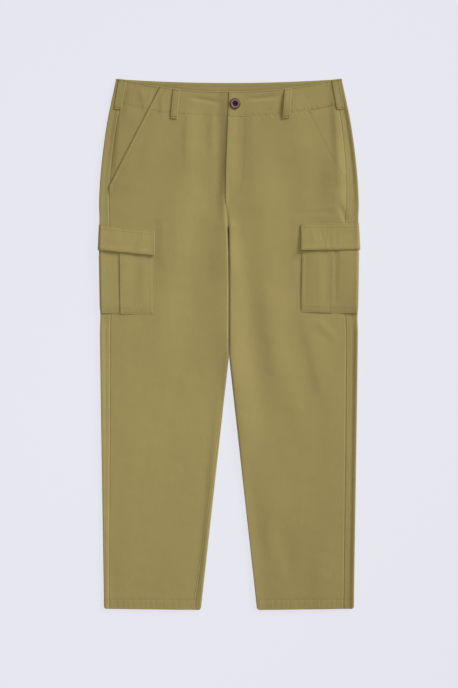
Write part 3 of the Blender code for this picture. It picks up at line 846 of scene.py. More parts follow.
def back_panel_grid(key):
    side = SIDES[key]
    levels = leg_levels(BACK_SPACING)
    counts = [len(WRAP_SHARES), len(FOLD_SHARES), len(UNDER_STEPS) + UNDER_COLUMNS + len(CENTRE_STEPS)]
    counts += [len(TURN_SHARES), len(INSEAM_SHARES) if key == "r" else 0]
    stops = np.cumsum(counts)
    wrap = np.array(WRAP_SHARES)[None, :]
    on_top = np.arange(stops[-1]) < stops[0] + FRONT_FOLD_POINTS

    def seam(y):
        return side_seam(side, y) - GAP / 2

    def fold_distances(y):
        near = y[:, : stops[0]]
        first = TURN + (seam(near) - TURN) * (1.0 - wrap)
        turn = TURN * np.array(FOLD_SHARES)[None, :] + 0 * y[:, stops[0] : stops[1]]
        return np.concatenate([first, turn, under_distances(side, y[:, :1])], axis=1)

    def place(y, height):
        height = np.broadcast_to(height, y.shape)
        parts = [from_fold(side, fold_distances(y), y[:, : stops[2]], height[:, : stops[2]])]
        curls = slice(stops[2], stops[3])
        inward = TURN * np.array(TURN_SHARES)[None, :]
        parts.append(from_centre(side, inward, y[:, curls], height[:, curls], "bottom"))
        if key == "r":
            wraps = slice(stops[3], stops[4])
            reach = np.maximum(0.0, inseam_reach(side, y[:, wraps]) - GAP)
            share = np.array(INSEAM_SHARES)[None, :]
            under_x, under_z = from_centre(side, 0.0, y[:, wraps], height[:, wraps], "bottom")
            top_x, top_z = from_centre(side, share * reach, y[:, wraps], height[:, wraps], "top")
            closed = reach * curl(y[:, wraps]) < CLOSED_BELOW
            closed_x = under_x - share * CLOSED_STEP
            parts.append((np.where(closed, closed_x, top_x), np.where(closed, under_z, top_z)))
        return tuple(np.concatenate([part[axis] for part in parts], axis=1) for axis in (0, 1))

    def height_of(x, y):
        top = panel_height(side, levels[:, None], x, y, "top")
        under = panel_height(side, levels[:, None], x, y, "bottom")
        return np.where(on_top[None, :], top, under)

    y = settle(place, height_of, levels, stops[-1])
    distance = np.full(y.shape, OFF_THE_SEAM)
    distance[:, : stops[1]] = fold_distances(y)[:, : stops[1]]
    from_seam = seam(y) - distance
    rise = seam_dip(from_seam)
    felled = between(from_seam, *FELLED_RISE) * (1.0 - between(from_seam, *FELLED_FALL))
    rise = rise + side["felled"] * felled + topstitch_grooves(from_seam, (FELLED_ROW,))
    rise = rise + seam_puckers("side", y, from_seam, seed=21)
    if key == "l":
        edge_line = SIDE_GROOVE_FROM_EDGE - FOLD_R + TURN
        depth = eased(SIDE_GROOVE, y) + eased(SIDE_GROOVE_LOW, y)
        rise = rise - depth * bell(distance - edge_line, SIDE_GROOVE_RUN)
    waist_seam = LEG_TOP - levels[:, None]
    strength = np.where(on_top[None, :], 1.0, UNDER_FAINT)
    rise = rise - WAIST_SEAM_DIP * bell(waist_seam, SEAM_DIP_RUN) * strength
    rise = rise + hem_rise(levels[:, None], distance, seed=22) * strength
    return Grid(skins(side, place, y, rise, wall_at(levels[:, None])), levels)


FACING_COLUMNS = 34
FACING_GRADING = 1.15


def facing_grid(key):
    side = SIDES[key]
    levels = graded(slant_foot(side) + FACING_TIP, LEG_TOP, SEAM_STEPS, SEAM_STEPS, PANEL_SPACING)
    share = np.linspace(0.0, 1.0, FACING_COLUMNS)[None, :] ** FACING_GRADING

    def distances(y):
        start = side_seam(side, y) + GAP / 2
        return start + share * (slant(side, y) + SLANT_UNDER - start)

    def place(y, height):
        return from_fold(side, distances(y), y, height)

    y = settle(place, front_height(side, levels), levels, share.shape[1])
    from_seam = distances(y) - side_seam(side, y)
    rise = seam_dip(from_seam) - side["facing_dip"] * bell(LEG_TOP - levels[:, None], FACING_DIP_RUN)
    return Grid(skins(side, place, y, rise, one_layer()), levels)


# ---- The waistband ----------------------------------------------------------------------------

BAND_STEPS = EDGE_STEPS[:13]
BAND_SPACING = 2.0
BAND_USUAL_WIDTH = 160.0
# A row of stitching lies this far in from the band's seam and from its top.
BAND_ROW = 2.5
BAND_TOP_ROLL = 0.4
BAND_TOP_ROLL_RUN = 2.2
SIDE_BAND_COLUMNS = 48
BACK_BAND_WRAP_COLUMNS = 7
BACK_BAND_UNDER_COLUMNS = 60


def band_rise(levels, along, seed):
    """A band's edges roll in, its rows of stitching press it down, and its seam puckers."""
    up, down = levels[:, None], BAND - levels[:, None]
    rise = topstitch_grooves(up, (BAND_ROW,)) + topstitch_grooves(down, (BAND_ROW,))
    rise = rise - WAIST_SEAM_DIP * bell(up, SEAM_DIP_RUN)
    rise = rise + BAND_TOP_ROLL * bell(down, BAND_TOP_ROLL_RUN)
    rise = rise + seam_puckers("band foot", along, up, seed)
    return rise + seam_puckers("band top", along, down, seed + 1)


def band_levels():
    return graded(0.0, BAND, BAND_STEPS, BAND_STEPS, BAND_SPACING)


def band_height(levels, x, layer):
    return waist(x, layer) - BAND + levels[:, None]


def front_band_grid(key):
    side = SIDES[key]
    levels = band_levels()
    lap = FLY_UNDER + GAP / 2 if key == "r" else 0.0
    length, share = columns(EDGE_STEPS, FLY_STEPS, BAND_USUAL_WIDTH, BAND_SPACING)

    def spans(y):
        width = outer_edge(y) - FOLD_R + TURN - slant(side, y) - inner_edge(side, y) + lap
        return width, length + share * width

    def place(y, height):
        width, distance = spans(y)
        return from_centre(side, width - distance, y, height, "top", lap)

    y = settle(place, lambda x, y: band_height(levels, x, "top"), levels, length.shape[1])
    width, distance = spans(y)
    over = BAND_LAYER + GAP
    rise = over * eased(SLANT_LAP, distance) + band_rise(levels, distance, seed=31)
    rise = rise + topstitch_grooves(distance, SLANT_ROWS[:1])
    rise = rise + side["slant_lift"] * bell(distance, SLANT_LIFT_RUN)
    if key == "l":
        inward = width - distance
        rise = rise + over * eased(FLY_LAP, inward) + eased(FLY_PROUD, y) * bell(inward, FLY_PROUD_RUN)
        rise = rise + topstitch_grooves(inward, SLANT_ROWS[:1])
    return Grid(skins(side, place, y, rise, two_layers()), levels, EDGE_STEPS, FLY_STEPS)


def side_band_grid(key):
    side = SIDES[key]
    levels = band_levels()
    share = np.linspace(0.0, 1.0, SIDE_BAND_COLUMNS)[None, :]

    def distances(y):
        return BAND_SEAM + GAP / 2 + share * (slant(side, y) + SLANT_UNDER - BAND_SEAM - GAP / 2)

    def place(y, height):
        return from_fold(side, distances(y), y, height)

    y = settle(place, lambda x, y: band_height(levels, x, "top"), levels, share.shape[1])
    rise = band_rise(levels, distances(y), seed=41) + seam_dip(distances(y) - BAND_SEAM)
    return Grid(skins(side, place, y, rise, two_layers()), levels)


def back_band_half(key, levels):
    side = SIDES[key]
    start = BAND_SEAM - GAP / 2
    wrap = np.linspace(0.0, 1.0, BACK_BAND_WRAP_COLUMNS + 1)[:-1]
    wrapped, turned = TURN + (start - TURN) * (1.0 - wrap), TURN * np.array(FOLD_SHARES)
    fixed = np.concatenate([wrapped, turned])[None, :]
    under = (np.arange(BACK_BAND_UNDER_COLUMNS) + 1.0) / BACK_BAND_UNDER_COLUMNS
    on_top = np.arange(fixed.size + under.size) < BACK_BAND_WRAP_COLUMNS + FRONT_FOLD_POINTS

    def distances(y):
        level_reach = outer_edge(y[:, -1:]) - FOLD_R
        return np.concatenate([fixed + 0 * y[:, : fixed.size], -(TURN + level_reach * under)], axis=1)

    def place(y, height):
        return from_fold(side, distances(y), y, height)

    def height_of(x, y):
        top, under = band_height(levels, x, "top"), band_height(levels, x, "bottom")
        return np.where(on_top[None, :], top, under)

    y = settle(place, height_of, levels, len(on_top))
    distance = distances(y)
    rise = band_rise(levels, distance, seed=51) * np.where(distance > 0, 1.0, UNDER_FAINT)
    return skins(side, place, y, rise + seam_dip(start - distance), two_layers())


def back_band_grid():
    levels = band_levels()
    pair = []
    for right, left in zip(back_band_half("r", levels), back_band_half("l", levels)):
        points = np.concatenate([right, left[:, -2::-1]], axis=1)
        points[:, right.shape[1] - 1, 0] = 0.0
        pair.append(points)
    return Grid(pair, levels)


# ---- Loops, pockets and flaps -----------------------------------------------------------------


def band_lap(side, x, y):
    """The waistband's own rise at a place on its front, where it laps over its side piece."""
    inside = outer_edge(y) - FOLD_R + TURN - x - slant(side, y)
    return np.where(inside > 0.0, (BAND_LAYER + GAP) * eased(SLANT_LAP, inside), 0.0)


# The side loops' edges, in from the outer fold: (at the top, at the foot).
SIDE_LOOP_INNER = (20.0, 22.0)
SIDE_LOOP_OUTER = (5.5, 8.0)
SIDE_LOOP_BULGE = 0.3
LOOP_SIDE_STEPS = EDGE_STEPS[:7]
LOOP_END_STEPS = EDGE_STEPS[:9]
LOOP_SPACING = 1.8
LOOP_WIDTH_SPACING = 1.2
LOOP_ROW = 2.5
LOOP_EDGE_DIP = 0.35
LOOP_EDGE_RUN = 0.9
# The bar tacks press a loop's ends down.
TACK_AT = 3.0
TACK_DIP = 0.4
TACK_RUN = 1.6


def loop_sides(side, which):
    """The loop's left and right edges, each at its top and at its foot, and its bulge."""
    if which == "front":
        middle, lean = side["front_loop"]
        half = side["loop_width"] / 2
        left = (middle - half - lean / 2, middle - half + lean / 2)
        right = (middle + half - lean / 2, middle + half + lean / 2)
        return left, right, side["loop_bulge"]
    top_edge = outer_edge(waist(WAIST_HALF, "top"))
    foot_edge = outer_edge(waist(WAIST_HALF, "top") - BAND - LOOP_BELOW)
    left = (top_edge - SIDE_LOOP_INNER[0], foot_edge - SIDE_LOOP_INNER[1])
    right = (top_edge - SIDE_LOOP_OUTER[0], foot_edge - SIDE_LOOP_OUTER[1])
    return left, right, SIDE_LOOP_BULGE


def loop_grid(key, which):
    side = SIDES[key]
    left, right, bulge = loop_sides(side, which)
    width, length = side["loop_width"], BAND + LOOP_BELOW
    across = graded(0.0, width, LOOP_SIDE_STEPS, LOOP_SIDE_STEPS, LOOP_WIDTH_SPACING) / width
    levels = graded(0.0, length, LOOP_END_STEPS, LOOP_END_STEPS, LOOP_SPACING)
    share = levels[:, None] / length
    left_x = left[1] + (left[0] - left[1]) * share
    right_x = right[1] + (right[0] - right[1]) * share
    x = left_x + (right_x - left_x) * across[None, :]
    foot = front_waist(x) - BAND - LOOP_BELOW
    y = foot + (front_waist(x) - GAP - foot) * share
    in_from_side = np.minimum(across, 1.0 - across)[None, :] * width
    in_from_end = np.minimum(levels, length - levels)[:, None]
    lap = np.max(band_lap(side, x, y), axis=1, keepdims=True)
    rise = GAP + LAYER + lap + bulge * np.sin(math.pi * share)
    rise = rise - LOOP_EDGE_DIP * bell(in_from_side, LOOP_EDGE_RUN)
    rise = rise + topstitch_grooves(in_from_side, (LOOP_ROW,))
    rise = rise - TACK_DIP * bell(in_from_end - TACK_AT, TACK_RUN)

    def place(y, height):
        return x, flat_height(side, x, y, "top", height)

    return Grid(skins(side, place, y, rise, LAYER), levels, list(across * width))


POCKET_CREASES = [
    # from_x, from_y, to_x, to_y, bow, left_width, right_width, height
    (-154, 195, -180, 50, 0, 14, 20, 1.5),
    (-206, 200, -210, 90, 0, 5, 14, 0.6),
    (-253, 260, -253, -20, 0, 10, 28, 2),
    (174, 225, 174, 20, 0, 24, 14, 2.4),
    (203, 200, 202, 60, 0, 6, 8, 1),
    (220, 232, 216, 62, 0, 8, 40, 2.4),
    (143, 190, 141, 50, 0, 4, 8, 0.7),
    (250, 260, 250, -20, 0, 27, 6, 3),
]
FLAP_CREASES = [
    # from_x, from_y, to_x, to_y, bow, left_width, right_width, height
    (179, 226, 184, 199, 0, 2.6, 2.6, -0.6),
    (192, 227, 186, 201, 0, 2.4, 2.4, -0.5),
    (191, 210, 192, 180, 0, 2.8, 2.8, 0.6),
    (160, 230, 167, 192, 1, 5, 5, 0.5),
    (219, 234, 212, 186, 1, 5, 5, 0.5),
    (204, 226, 203, 182, 0, 4, 4, 0.4),
    (143, 300, 143, 120, 0, 8, 55, 1.6),
    (252, 300, 252, 120, 0, 40, 8, 2.6),
    (-162, 226, -182, 176, 2, 8, 7, 0.8),
    (-228, 232, -214, 186, 0, 9, 9, 0.4),
    (-254, 300, -254, 120, 0, 10, 45, 2.2),
]
PATCH_SPACING = 2.2
FOOT_RUN = 8.0
POCKET_GAP = 0.15
# Where a section is sewn down, and under the flap, its wall is thinner and it lies lower.
THINNER = 0.6
SEWN_LOWER = 0.8
UNDER_FLAP_RISE = 0.6
PLEAT_EDGE_RISE = 0.35
PLEAT_EDGE_RUN = 5.0
POCKET_ROWS = (1.8, 10.5)

FLAP_TOP_RUN = 12.0
FLAP_TOP_RISE = 1.0
FLAP_SINK = 0.4
FLAP_LOW = 2 * GAP + LAYER + BAND_LAYER - FLAP_SINK
# The flap lies higher over the pleat and the front section than on the underside.
FLAP_STEP = 1.1
FLAP_STEP_FROM = -4.0
FLAP_STEP_BEFORE_FOLD = 2.0
FLAP_HANG_POWER = 0.85
FLAP_SHOWS = (-12.0, 4.0)
FLAP_FOOT_CURL = 0.6
FLAP_FOOT_RUN = 14.0
FLAP_EDGE_DIP = 0.3
FLAP_EDGE_RUN = 0.9
FLAP_ROW = 2.0
FLAP_TOP_ROWS = (1.8, 8.0)


def patch_grid(key, start, end, foot, top, rise_of, wall_of, creases):
    """A patch laid on the leg, from one distance from the outer fold to another."""
    side = SIDES[key]
    width = abs(end - start)
    steps = graded(0.0, width, EDGE_STEPS, EDGE_STEPS, PATCH_SPACING)
    distance = (start + np.sign(end - start) * steps)[None, :]
    usual = top[0] - foot[0]
    levels = graded(0.0, usual, EDGE_STEPS, EDGE_STEPS, PATCH_SPACING)
    low, high = foot[0] + foot[1] * distance, top[0] + top[1] * distance
    y = low + (high - low) * levels[:, None] / usual
    x, _ = from_fold(side, distance, y, 0.0)
    own = crease_field(creases, side["sign"] * x, y) * settings().cloth.crease_depth
    own = own * (distance > 0)

    def place(y, height):
        """Creases lift a patch, but don't push its folded edge out sideways."""
        return from_fold(side, distance, y, height)[0], from_fold(side, distance, y, height + own)[1]

    up, down = levels[:, None], usual - levels[:, None]
    rise, wall = rise_of(distance, up, down), wall_of(distance, up, down)
    return Grid(skins(side, place, y, rise, wall), levels, EDGE_STEPS, EDGE_STEPS)


def pocket_sections(key):
    """Each section's start and end, as distances from the outer fold, in grid order."""
    side = SIDES[key]
    return {
        "front": (side["pocket_front"], side["pleat_front"]),
        "pleat": (side["pleat_front"] + PLEAT_UNDER, side["pleat_back"] + GAP),
        "back": (side["pleat_back"], side["pocket_back"]),
    }


def sewn_down(side, section, aside, up):
    """1 at an edge that is sewn flat to the leg, and 0 some way in from it."""
    foot = bell(up, FOOT_RUN)
    return np.maximum(foot, bell(aside, side["sewn_run"])) if section == "front" else foot


def pocket_grid(key, section):
    side = SIDES[key]
    wall = one_layer()
    first = POCKET_GAP + wall
    start, end = pocket_sections(key)[section]
    top = (side["flap_top"][0] - POCKET_TOP_UNDER_FLAP, side["flap_top"][1])
    flap_length = side["flap_top"][0] - side["flap_foot"][0]

    def under_flap(down):
        """0 where the flap's foot lies, and 1 at the flap's sewn-down top."""
        return np.clip(1.0 - (down + POCKET_TOP_UNDER_FLAP) / flap_length, 0.0, 1.0)

    def wall_of(distance, up, down):
        sewn = sewn_down(side, section, np.abs(distance - start), up)
        return wall * (1.0 - THINNER * np.maximum(sewn, under_flap(down)))

    def rise_of(distance, up, down):
        aside = np.abs(distance - start)
        rise = first - SEWN_LOWER * sewn_down(side, section, aside, up)
        if section == "front":
            lap_end = side["pleat_front"] + PLEAT_UNDER + 1.0
            rise = rise + first * (1.0 - between(distance, lap_end, lap_end + 3 * PLEAT_RUN))
            rise = rise + topstitch_grooves(aside, POCKET_ROWS)
            rise = rise + PLEAT_EDGE_RISE * bell(distance - end, PLEAT_EDGE_RUN)
        rise = rise + topstitch_grooves(up, POCKET_ROWS)
        rise = rise + seam_puckers("pocket foot", distance, up, seed=61)
        return rise - (rise - UNDER_FLAP_RISE) * under_flap(down)

    return patch_grid(key, start, end, side["pocket_foot"], top, rise_of, wall_of, POCKET_CREASES)


def flap_grid(key):
    side = SIDES[key]
    start, end = side["pocket_front"] + FLAP_PROUD, side["pocket_back"] - FLAP_PROUD

    def rise_of(distance, up, down):
        step = between(distance, FLAP_STEP_FROM, side["pleat_front"] - FLAP_STEP_BEFORE_FOLD)
        hang = np.clip(down / (up + down), 0.0, 1.0) ** FLAP_HANG_POWER
        rise = FLAP_TOP_RISE + (FLAP_LOW + FLAP_STEP * step - FLAP_TOP_RISE) * hang
        curls = between(distance, *FLAP_SHOWS) * (1.0 - between(up, 0.0, FLAP_FOOT_RUN))
        from_edge = np.minimum(np.minimum(np.abs(distance - start), np.abs(distance - end)), up)
        rise = rise + FLAP_FOOT_CURL * curls - FLAP_EDGE_DIP * bell(from_edge, FLAP_EDGE_RUN)
        rise = rise + topstitch_grooves(from_edge, (FLAP_ROW,)) + topstitch_grooves(down, FLAP_TOP_ROWS)
        return rise + seam_puckers("flap top", distance, down, seed=71)

    def wall_of(distance, up, down):
        return two_layers() * (1.0 - THINNER * bell(down, FLAP_TOP_RUN))

    foot, top = side["flap_foot"], side["flap_top"]
    return patch_grid(key, start, end, foot, top, rise_of, wall_of, FLAP_CREASES)


@functools.cache
def grid_of(node):
    """The grid of a cloth piece by its node's name, made once."""
    if node == "waistband_back":
        return back_band_grid()
    kind, key = node.rsplit("_", 1)
    for family, maker in (("belt_loop", loop_grid), ("cargo_pocket", pocket_grid)):
        if kind.startswith(family):
            return maker(key, kind.rsplit("_", 1)[1])
    makers = {
        "front_panel": front_panel_grid,
        "back_panel": back_panel_grid,
        "pocket_facing": facing_grid,
        "waistband_front": front_band_grid,
        "waistband_side": side_band_grid,
        "cargo_flap": flap_grid,
    }
    return makers[kind](key)


# ---- Meshes -----------------------------------------------------------------------------------

# The folded edges are painted paler within this run: partly rubbed wear, partly painted highlight where
# the edges catch the light.
EDGE_WEAR_AND_HIGHLIGHT_RUN = 1.6
# A sheet's rim stands out by this share of its wall, and takes this share of the inner face's duller
# colour, as painted shade along the rim.
RIM_OUT = 0.4
RIM_SHADE_SHARE = 0.3
# The cloth lies this far off the floor, on the stitches under it.
LIFT = 0.4
STITCH_LOWEST = -0.15


def to_metres(points):
    """A point of the garment's own places, in metres and where the CAD model stands."""
    low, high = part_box("waist_button")
    shift = np.array([(low.x + high.x) / 2, (low.y + high.y) / 2, 0.0])
    return points * MM + shift - np.array([*BUTTON_AT, -LIFT]) * MM


def lengths(points, axis):
    """Distances along a grid's rows or columns from their first point."""
    steps = np.linalg.norm(np.diff(points, axis=axis), axis=-1)
    start = np.zeros_like(np.take(steps, [0], axis=axis))
    return np.concatenate([start, np.cumsum(steps, axis=axis)], axis=axis)


def boundary(rows, cols):
    """The grid's border points in order round it, and for each the point one step in."""
    last_row, last_col = rows - 1, cols - 1
    ring = [(0, i) for i in range(cols)] + [(j, last_col) for j in range(1, rows)]
    ring += [(last_row, i) for i in range(last_col - 1, -1, -1)]
    ring += [(j, 0) for j in range(last_row - 1, 0, -1)]
    ring = np.array(ring)
    inside = np.clip(ring, 1, [last_row - 1, last_col - 1])
    return ring, inside


def shell_mesh(name, grid):
    """A closed sheet between a grid's two skins, its edges rounded, in metres."""
    rows, cols = grid.outer.shape[:2]
    count = rows * cols
    ring, inside = boundary(rows, cols)
    centre = (grid.outer + grid.inner) / 2
    wall = np.linalg.norm(grid.outer - grid.inner, axis=-1)
    rim = centre[ring[:, 0], ring[:, 1]]
    outward = rim - centre[inside[:, 0], inside[:, 1]]
    outward /= np.maximum(np.linalg.norm(outward, axis=1, keepdims=True), 1e-9)
    rim = rim + outward * RIM_OUT * wall[ring[:, 0], ring[:, 1]][:, None]
    points = np.concatenate([grid.outer.reshape(-1, 3), grid.inner.reshape(-1, 3), rim])
    points[:, 2] = np.maximum(points[:, 2], 0.0)
    points = to_metres(points)
    corner = np.arange(count).reshape(rows, cols)
    corners = [corner[:-1, :-1], corner[:-1, 1:], corner[1:, 1:], corner[1:, :-1]]
    quads = np.stack(corners, axis=-1).reshape(-1, 4)
    border = corner[ring[:, 0], ring[:, 1]]
    after = np.roll(border, -1)
    rim_at = 2 * count + np.arange(len(ring))
    rim_after = np.roll(rim_at, -1)
    faces = [quads, quads[:, ::-1] + count]
    faces.append(np.stack([border, rim_at, rim_after, after], axis=-1))
    faces.append(np.stack([rim_at, border + count, after + count, rim_after], axis=-1))
    faces = np.concatenate(faces)
    a, b, c = (grid.outer.reshape(-1, 3)[quads[:, k]] for k in (0, 1, 3))
    facing = np.sum(np.cross(b - a, c - a) * (grid.outer - grid.inner).reshape(-1, 3)[quads[:, 0]])
    if facing < 0:
        faces = faces[:, ::-1]
    mesh = bpy.data.meshes.new(name)
    mesh.from_pydata(points, [], faces)
    mesh.shade_smooth()
    add_cloth_layers(mesh, grid, ring, faces)
    mesh.update()
    return mesh


def add_cloth_layers(mesh, grid, ring, faces):
    """The cloth's own coordinates in metres, and masks of its edges (painted paler: rubbed wear and
    painted highlight) and of its inner face and rims (painted duller: the twill's back, and painted
    shade).
    """
    across, along = lengths(grid.outer, 1), lengths(grid.outer, 0)
    rows, cols = across.shape
    middle = cols // 2
    facing = np.sign(grid.outer[:, -1, 0].mean() - grid.outer[:, 0, 0].mean())
    u = grid.outer[:, middle : middle + 1, 0] + facing * (across - across[:, middle : middle + 1])
    v = grid.outer[rows // 2, :, 1][None, :] + along - along[rows // 2][None, :]
    to_sides = np.minimum(across, across[:, -1:] - across)
    to_ends = np.minimum(along, along[-1:] - along)
    # Paler towards the edges: rubbed wear and painted highlight.
    wear_and_highlight = bell(np.minimum(to_sides, to_ends), EDGE_WEAR_AND_HIGHLIGHT_RUN)
    rim = (ring[:, 0], ring[:, 1])
    uv = np.stack([u, v], axis=-1) * MM
    uv = np.concatenate([uv.reshape(-1, 2), uv.reshape(-1, 2), uv[rim]])
    layer = mesh.uv_layers.new(name="cloth")
    layer.uv.foreach_set("vector", uv[faces.reshape(-1)].astype(np.float32).ravel())
    masks = {
        "edge": [wear_and_highlight.ravel(), wear_and_highlight.ravel(), np.ones(len(ring))],
        "inside": [np.zeros(rows * cols), np.ones(rows * cols), np.full(len(ring), RIM_SHADE_SHARE)],
    }
    for mask, parts in masks.items():
        store(mesh, mask, "FLOAT", "value", np.concatenate(parts))


def store(mesh, name, kind, field, values):
    """A value or vector for each of a mesh's points, under a name that a tree can read."""
    attribute = mesh.attributes.new(name, kind, "POINT")
    attribute.data.foreach_set(field, np.asarray(values, np.float32).ravel())


def link(name, mesh):
    obj = bpy.data.objects.new(name, mesh)
    bpy.context.scene.collection.objects.link(obj)
    return obj


def flat_cut(grid):
    """A sheet's flat width and length, and its area, measured along the cloth in metres."""
    across, along = lengths(grid.outer, 1)[:, -1], lengths(grid.outer, 0)[-1]
    steps_across = np.linalg.norm(np.diff(grid.outer, axis=1), axis=-1)
    steps_along = np.linalg.norm(np.diff(grid.outer, axis=0), axis=-1)
    cells = (steps_across[:-1] + steps_across[1:]) * (steps_along[:, :-1] + steps_along[:, 1:]) / 4
    width, length = across.max() * MM, along.max() * MM
    return width, length, min(cells.sum() * MM * MM, width * length)


def add_cloth(node):
    """One piece of cloth in place of its CAD node."""
    grid = grid_of(node)
    obj = link(f"{node}_cloth", shell_mesh(f"{node}_cloth", grid))
    obj.data.materials.append(cloth_material())
    width, length, area = flat_cut(grid)
    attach(obj, "root")
    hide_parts(node)
    return obj


# ---- Materials --------------------------------------------------------------------------------


def new_group(name, inputs, outputs, kind="ShaderNodeTree"):
    """An empty group: inputs hold (name, kind of value, default or None), outputs (name, kind)."""
    tree = bpy.data.node_groups.new(name, kind)
    for label, value_kind, default in inputs:
        socket = tree.interface.new_socket(label, in_out="INPUT", socket_type=f"NodeSocket{value_kind}")
        if default is not None:
            socket.default_value = default
    for label, value_kind in outputs:
        tree.interface.new_socket(label, in_out="OUTPUT", socket_type=f"NodeSocket{value_kind}")
    return tree, tree.nodes.new("NodeGroupInput").outputs, tree.nodes.new("NodeGroupOutput")


def feed(tree, node, inputs):
    """Links or sets a node's inputs, each by its name or its number."""
    for key, value in inputs.items():
        if isinstance(value, bpy.types.NodeSocket):
            tree.links.new(value, node.inputs[key])
        else:
            node.inputs[key].default_value = value


def add_node(tree, kind, inputs, output=0, **traits):
    """One of the outputs of a new node, whose traits are set before its inputs are fed."""
    node = tree.nodes.new(kind)
    for trait, value in traits.items():
        setattr(node, trait, value)
    feed(tree, node, inputs)
    return node.outputs[output]


def arithmetic(tree, operation, *values):
    return add_node(tree, "ShaderNodeMath", dict(enumerate(values)), operation=operation)


def mix_colour(tree, factor, first, second, blend="MIX"):
    inputs = {0: factor, 6: first, 7: second}
    traits = {"data_type": "RGBA", "blend_type": blend, "clamp_factor": True}
    return add_node(tree, "ShaderNodeMix", inputs, 2, **traits)


def noise(tree, vector, scale, detail=2.0, roughness=0.5):
    inputs = {"Vector": vector, "Scale": scale, "Detail": detail, "Roughness": roughness}
    return add_node(tree, "ShaderNodeTexNoise", inputs, "Fac")


def stretched(tree, vector, lengthwise):
    """The cloth's coordinates, squeezed along it so that noise is drawn out into threads."""
    return add_node(tree, "ShaderNodeMapping", {"Vector": vector, "Scale": (1.0, lengthwise, 1.0)})


def bump(tree, height, strength, distance):
    inputs = {"Height": height, "Strength": strength, "Distance": distance}
    return add_node(tree, "ShaderNodeBump", inputs, "Normal")


def own_place(tree):
    return add_node(tree, "ShaderNodeTexCoord", {}, "Object")


def attribute_value(tree, name):
    return add_node(tree, "ShaderNodeAttribute", {}, "Fac", attribute_name=name)


# The pitch and the wander are in metres, as every length in a material is.
RIB_PITCH = 0.0008
TWILL_SLANT = 0.55
TWILL_WANDER = 0.0006
PICK_SLANT = -0.35
PICKS_A_RIB = 1.3
RIB_SHARE = 0.32
PICK_SHARE = 0.16
SLUB_SHARE = 0.55


@functools.cache
def weave_group():
    """Twill: steep diagonal ribs of even pitch, broken by the threads that cross them."""
    inputs = [("Cloth position", "Vector", None), ("Rib pitch", "Float", RIB_PITCH)]
    outputs = [("Height", "Float"), ("Thread", "Float")]
    tree, source, target = new_group("Twill weave", inputs, outputs)
    math_of = functools.partial(arithmetic, tree)
    position, pitch = source["Cloth position"], source["Rib pitch"]
    split = tree.nodes.new("ShaderNodeSeparateXYZ")
    feed(tree, split, {0: position})
    across, along = split.outputs[0], split.outputs[1]
    slanted = math_of("MULTIPLY_ADD", along, TWILL_SLANT, across)
    wander = math_of("MULTIPLY", noise(tree, position, scale=160.0), TWILL_WANDER)
    phase = math_of("DIVIDE", math_of("ADD", slanted, wander), pitch)
    rib = math_of("SINE", math_of("MULTIPLY", phase, 2 * math.pi))
    cross = math_of("DIVIDE", math_of("MULTIPLY_ADD", across, PICK_SLANT, along), pitch)
    pick = math_of("SINE", math_of("MULTIPLY", cross, PICKS_A_RIB * 2 * math.pi))
    slub = noise(tree, stretched(tree, position, lengthwise=0.09), scale=1500.0, detail=1.0)
    height = math_of("MULTIPLY_ADD", rib, RIB_SHARE, math_of("MULTIPLY", pick, PICK_SHARE))
    height = math_of("ADD", height, math_of("MULTIPLY", slub, SLUB_SHARE))
    feed(tree, target, {"Height": height, "Thread": slub})
    return tree


FLECK_SHARE = 0.7
THREAD_SHARE = 0.5
STREAK_SHARE = 1.1
# The mean of the cloud, the flecks, the threads and the streaks together.
SHADE_MIDDLE = 1.65
# The inner face is painted duller and darker, partly as the twill's back and partly as painted shade;
# the rims take a share of it as painted shade in the gaps between pieces.
INSIDE_DULLNESS_AND_SHADE = 0.01
LEAST_ROUGHNESS = 0.82
ROUGHNESS_SPAN = 0.12
DULL_AND_SHADED_DYE = (0.16, 0.13, 0.07, 1.0)


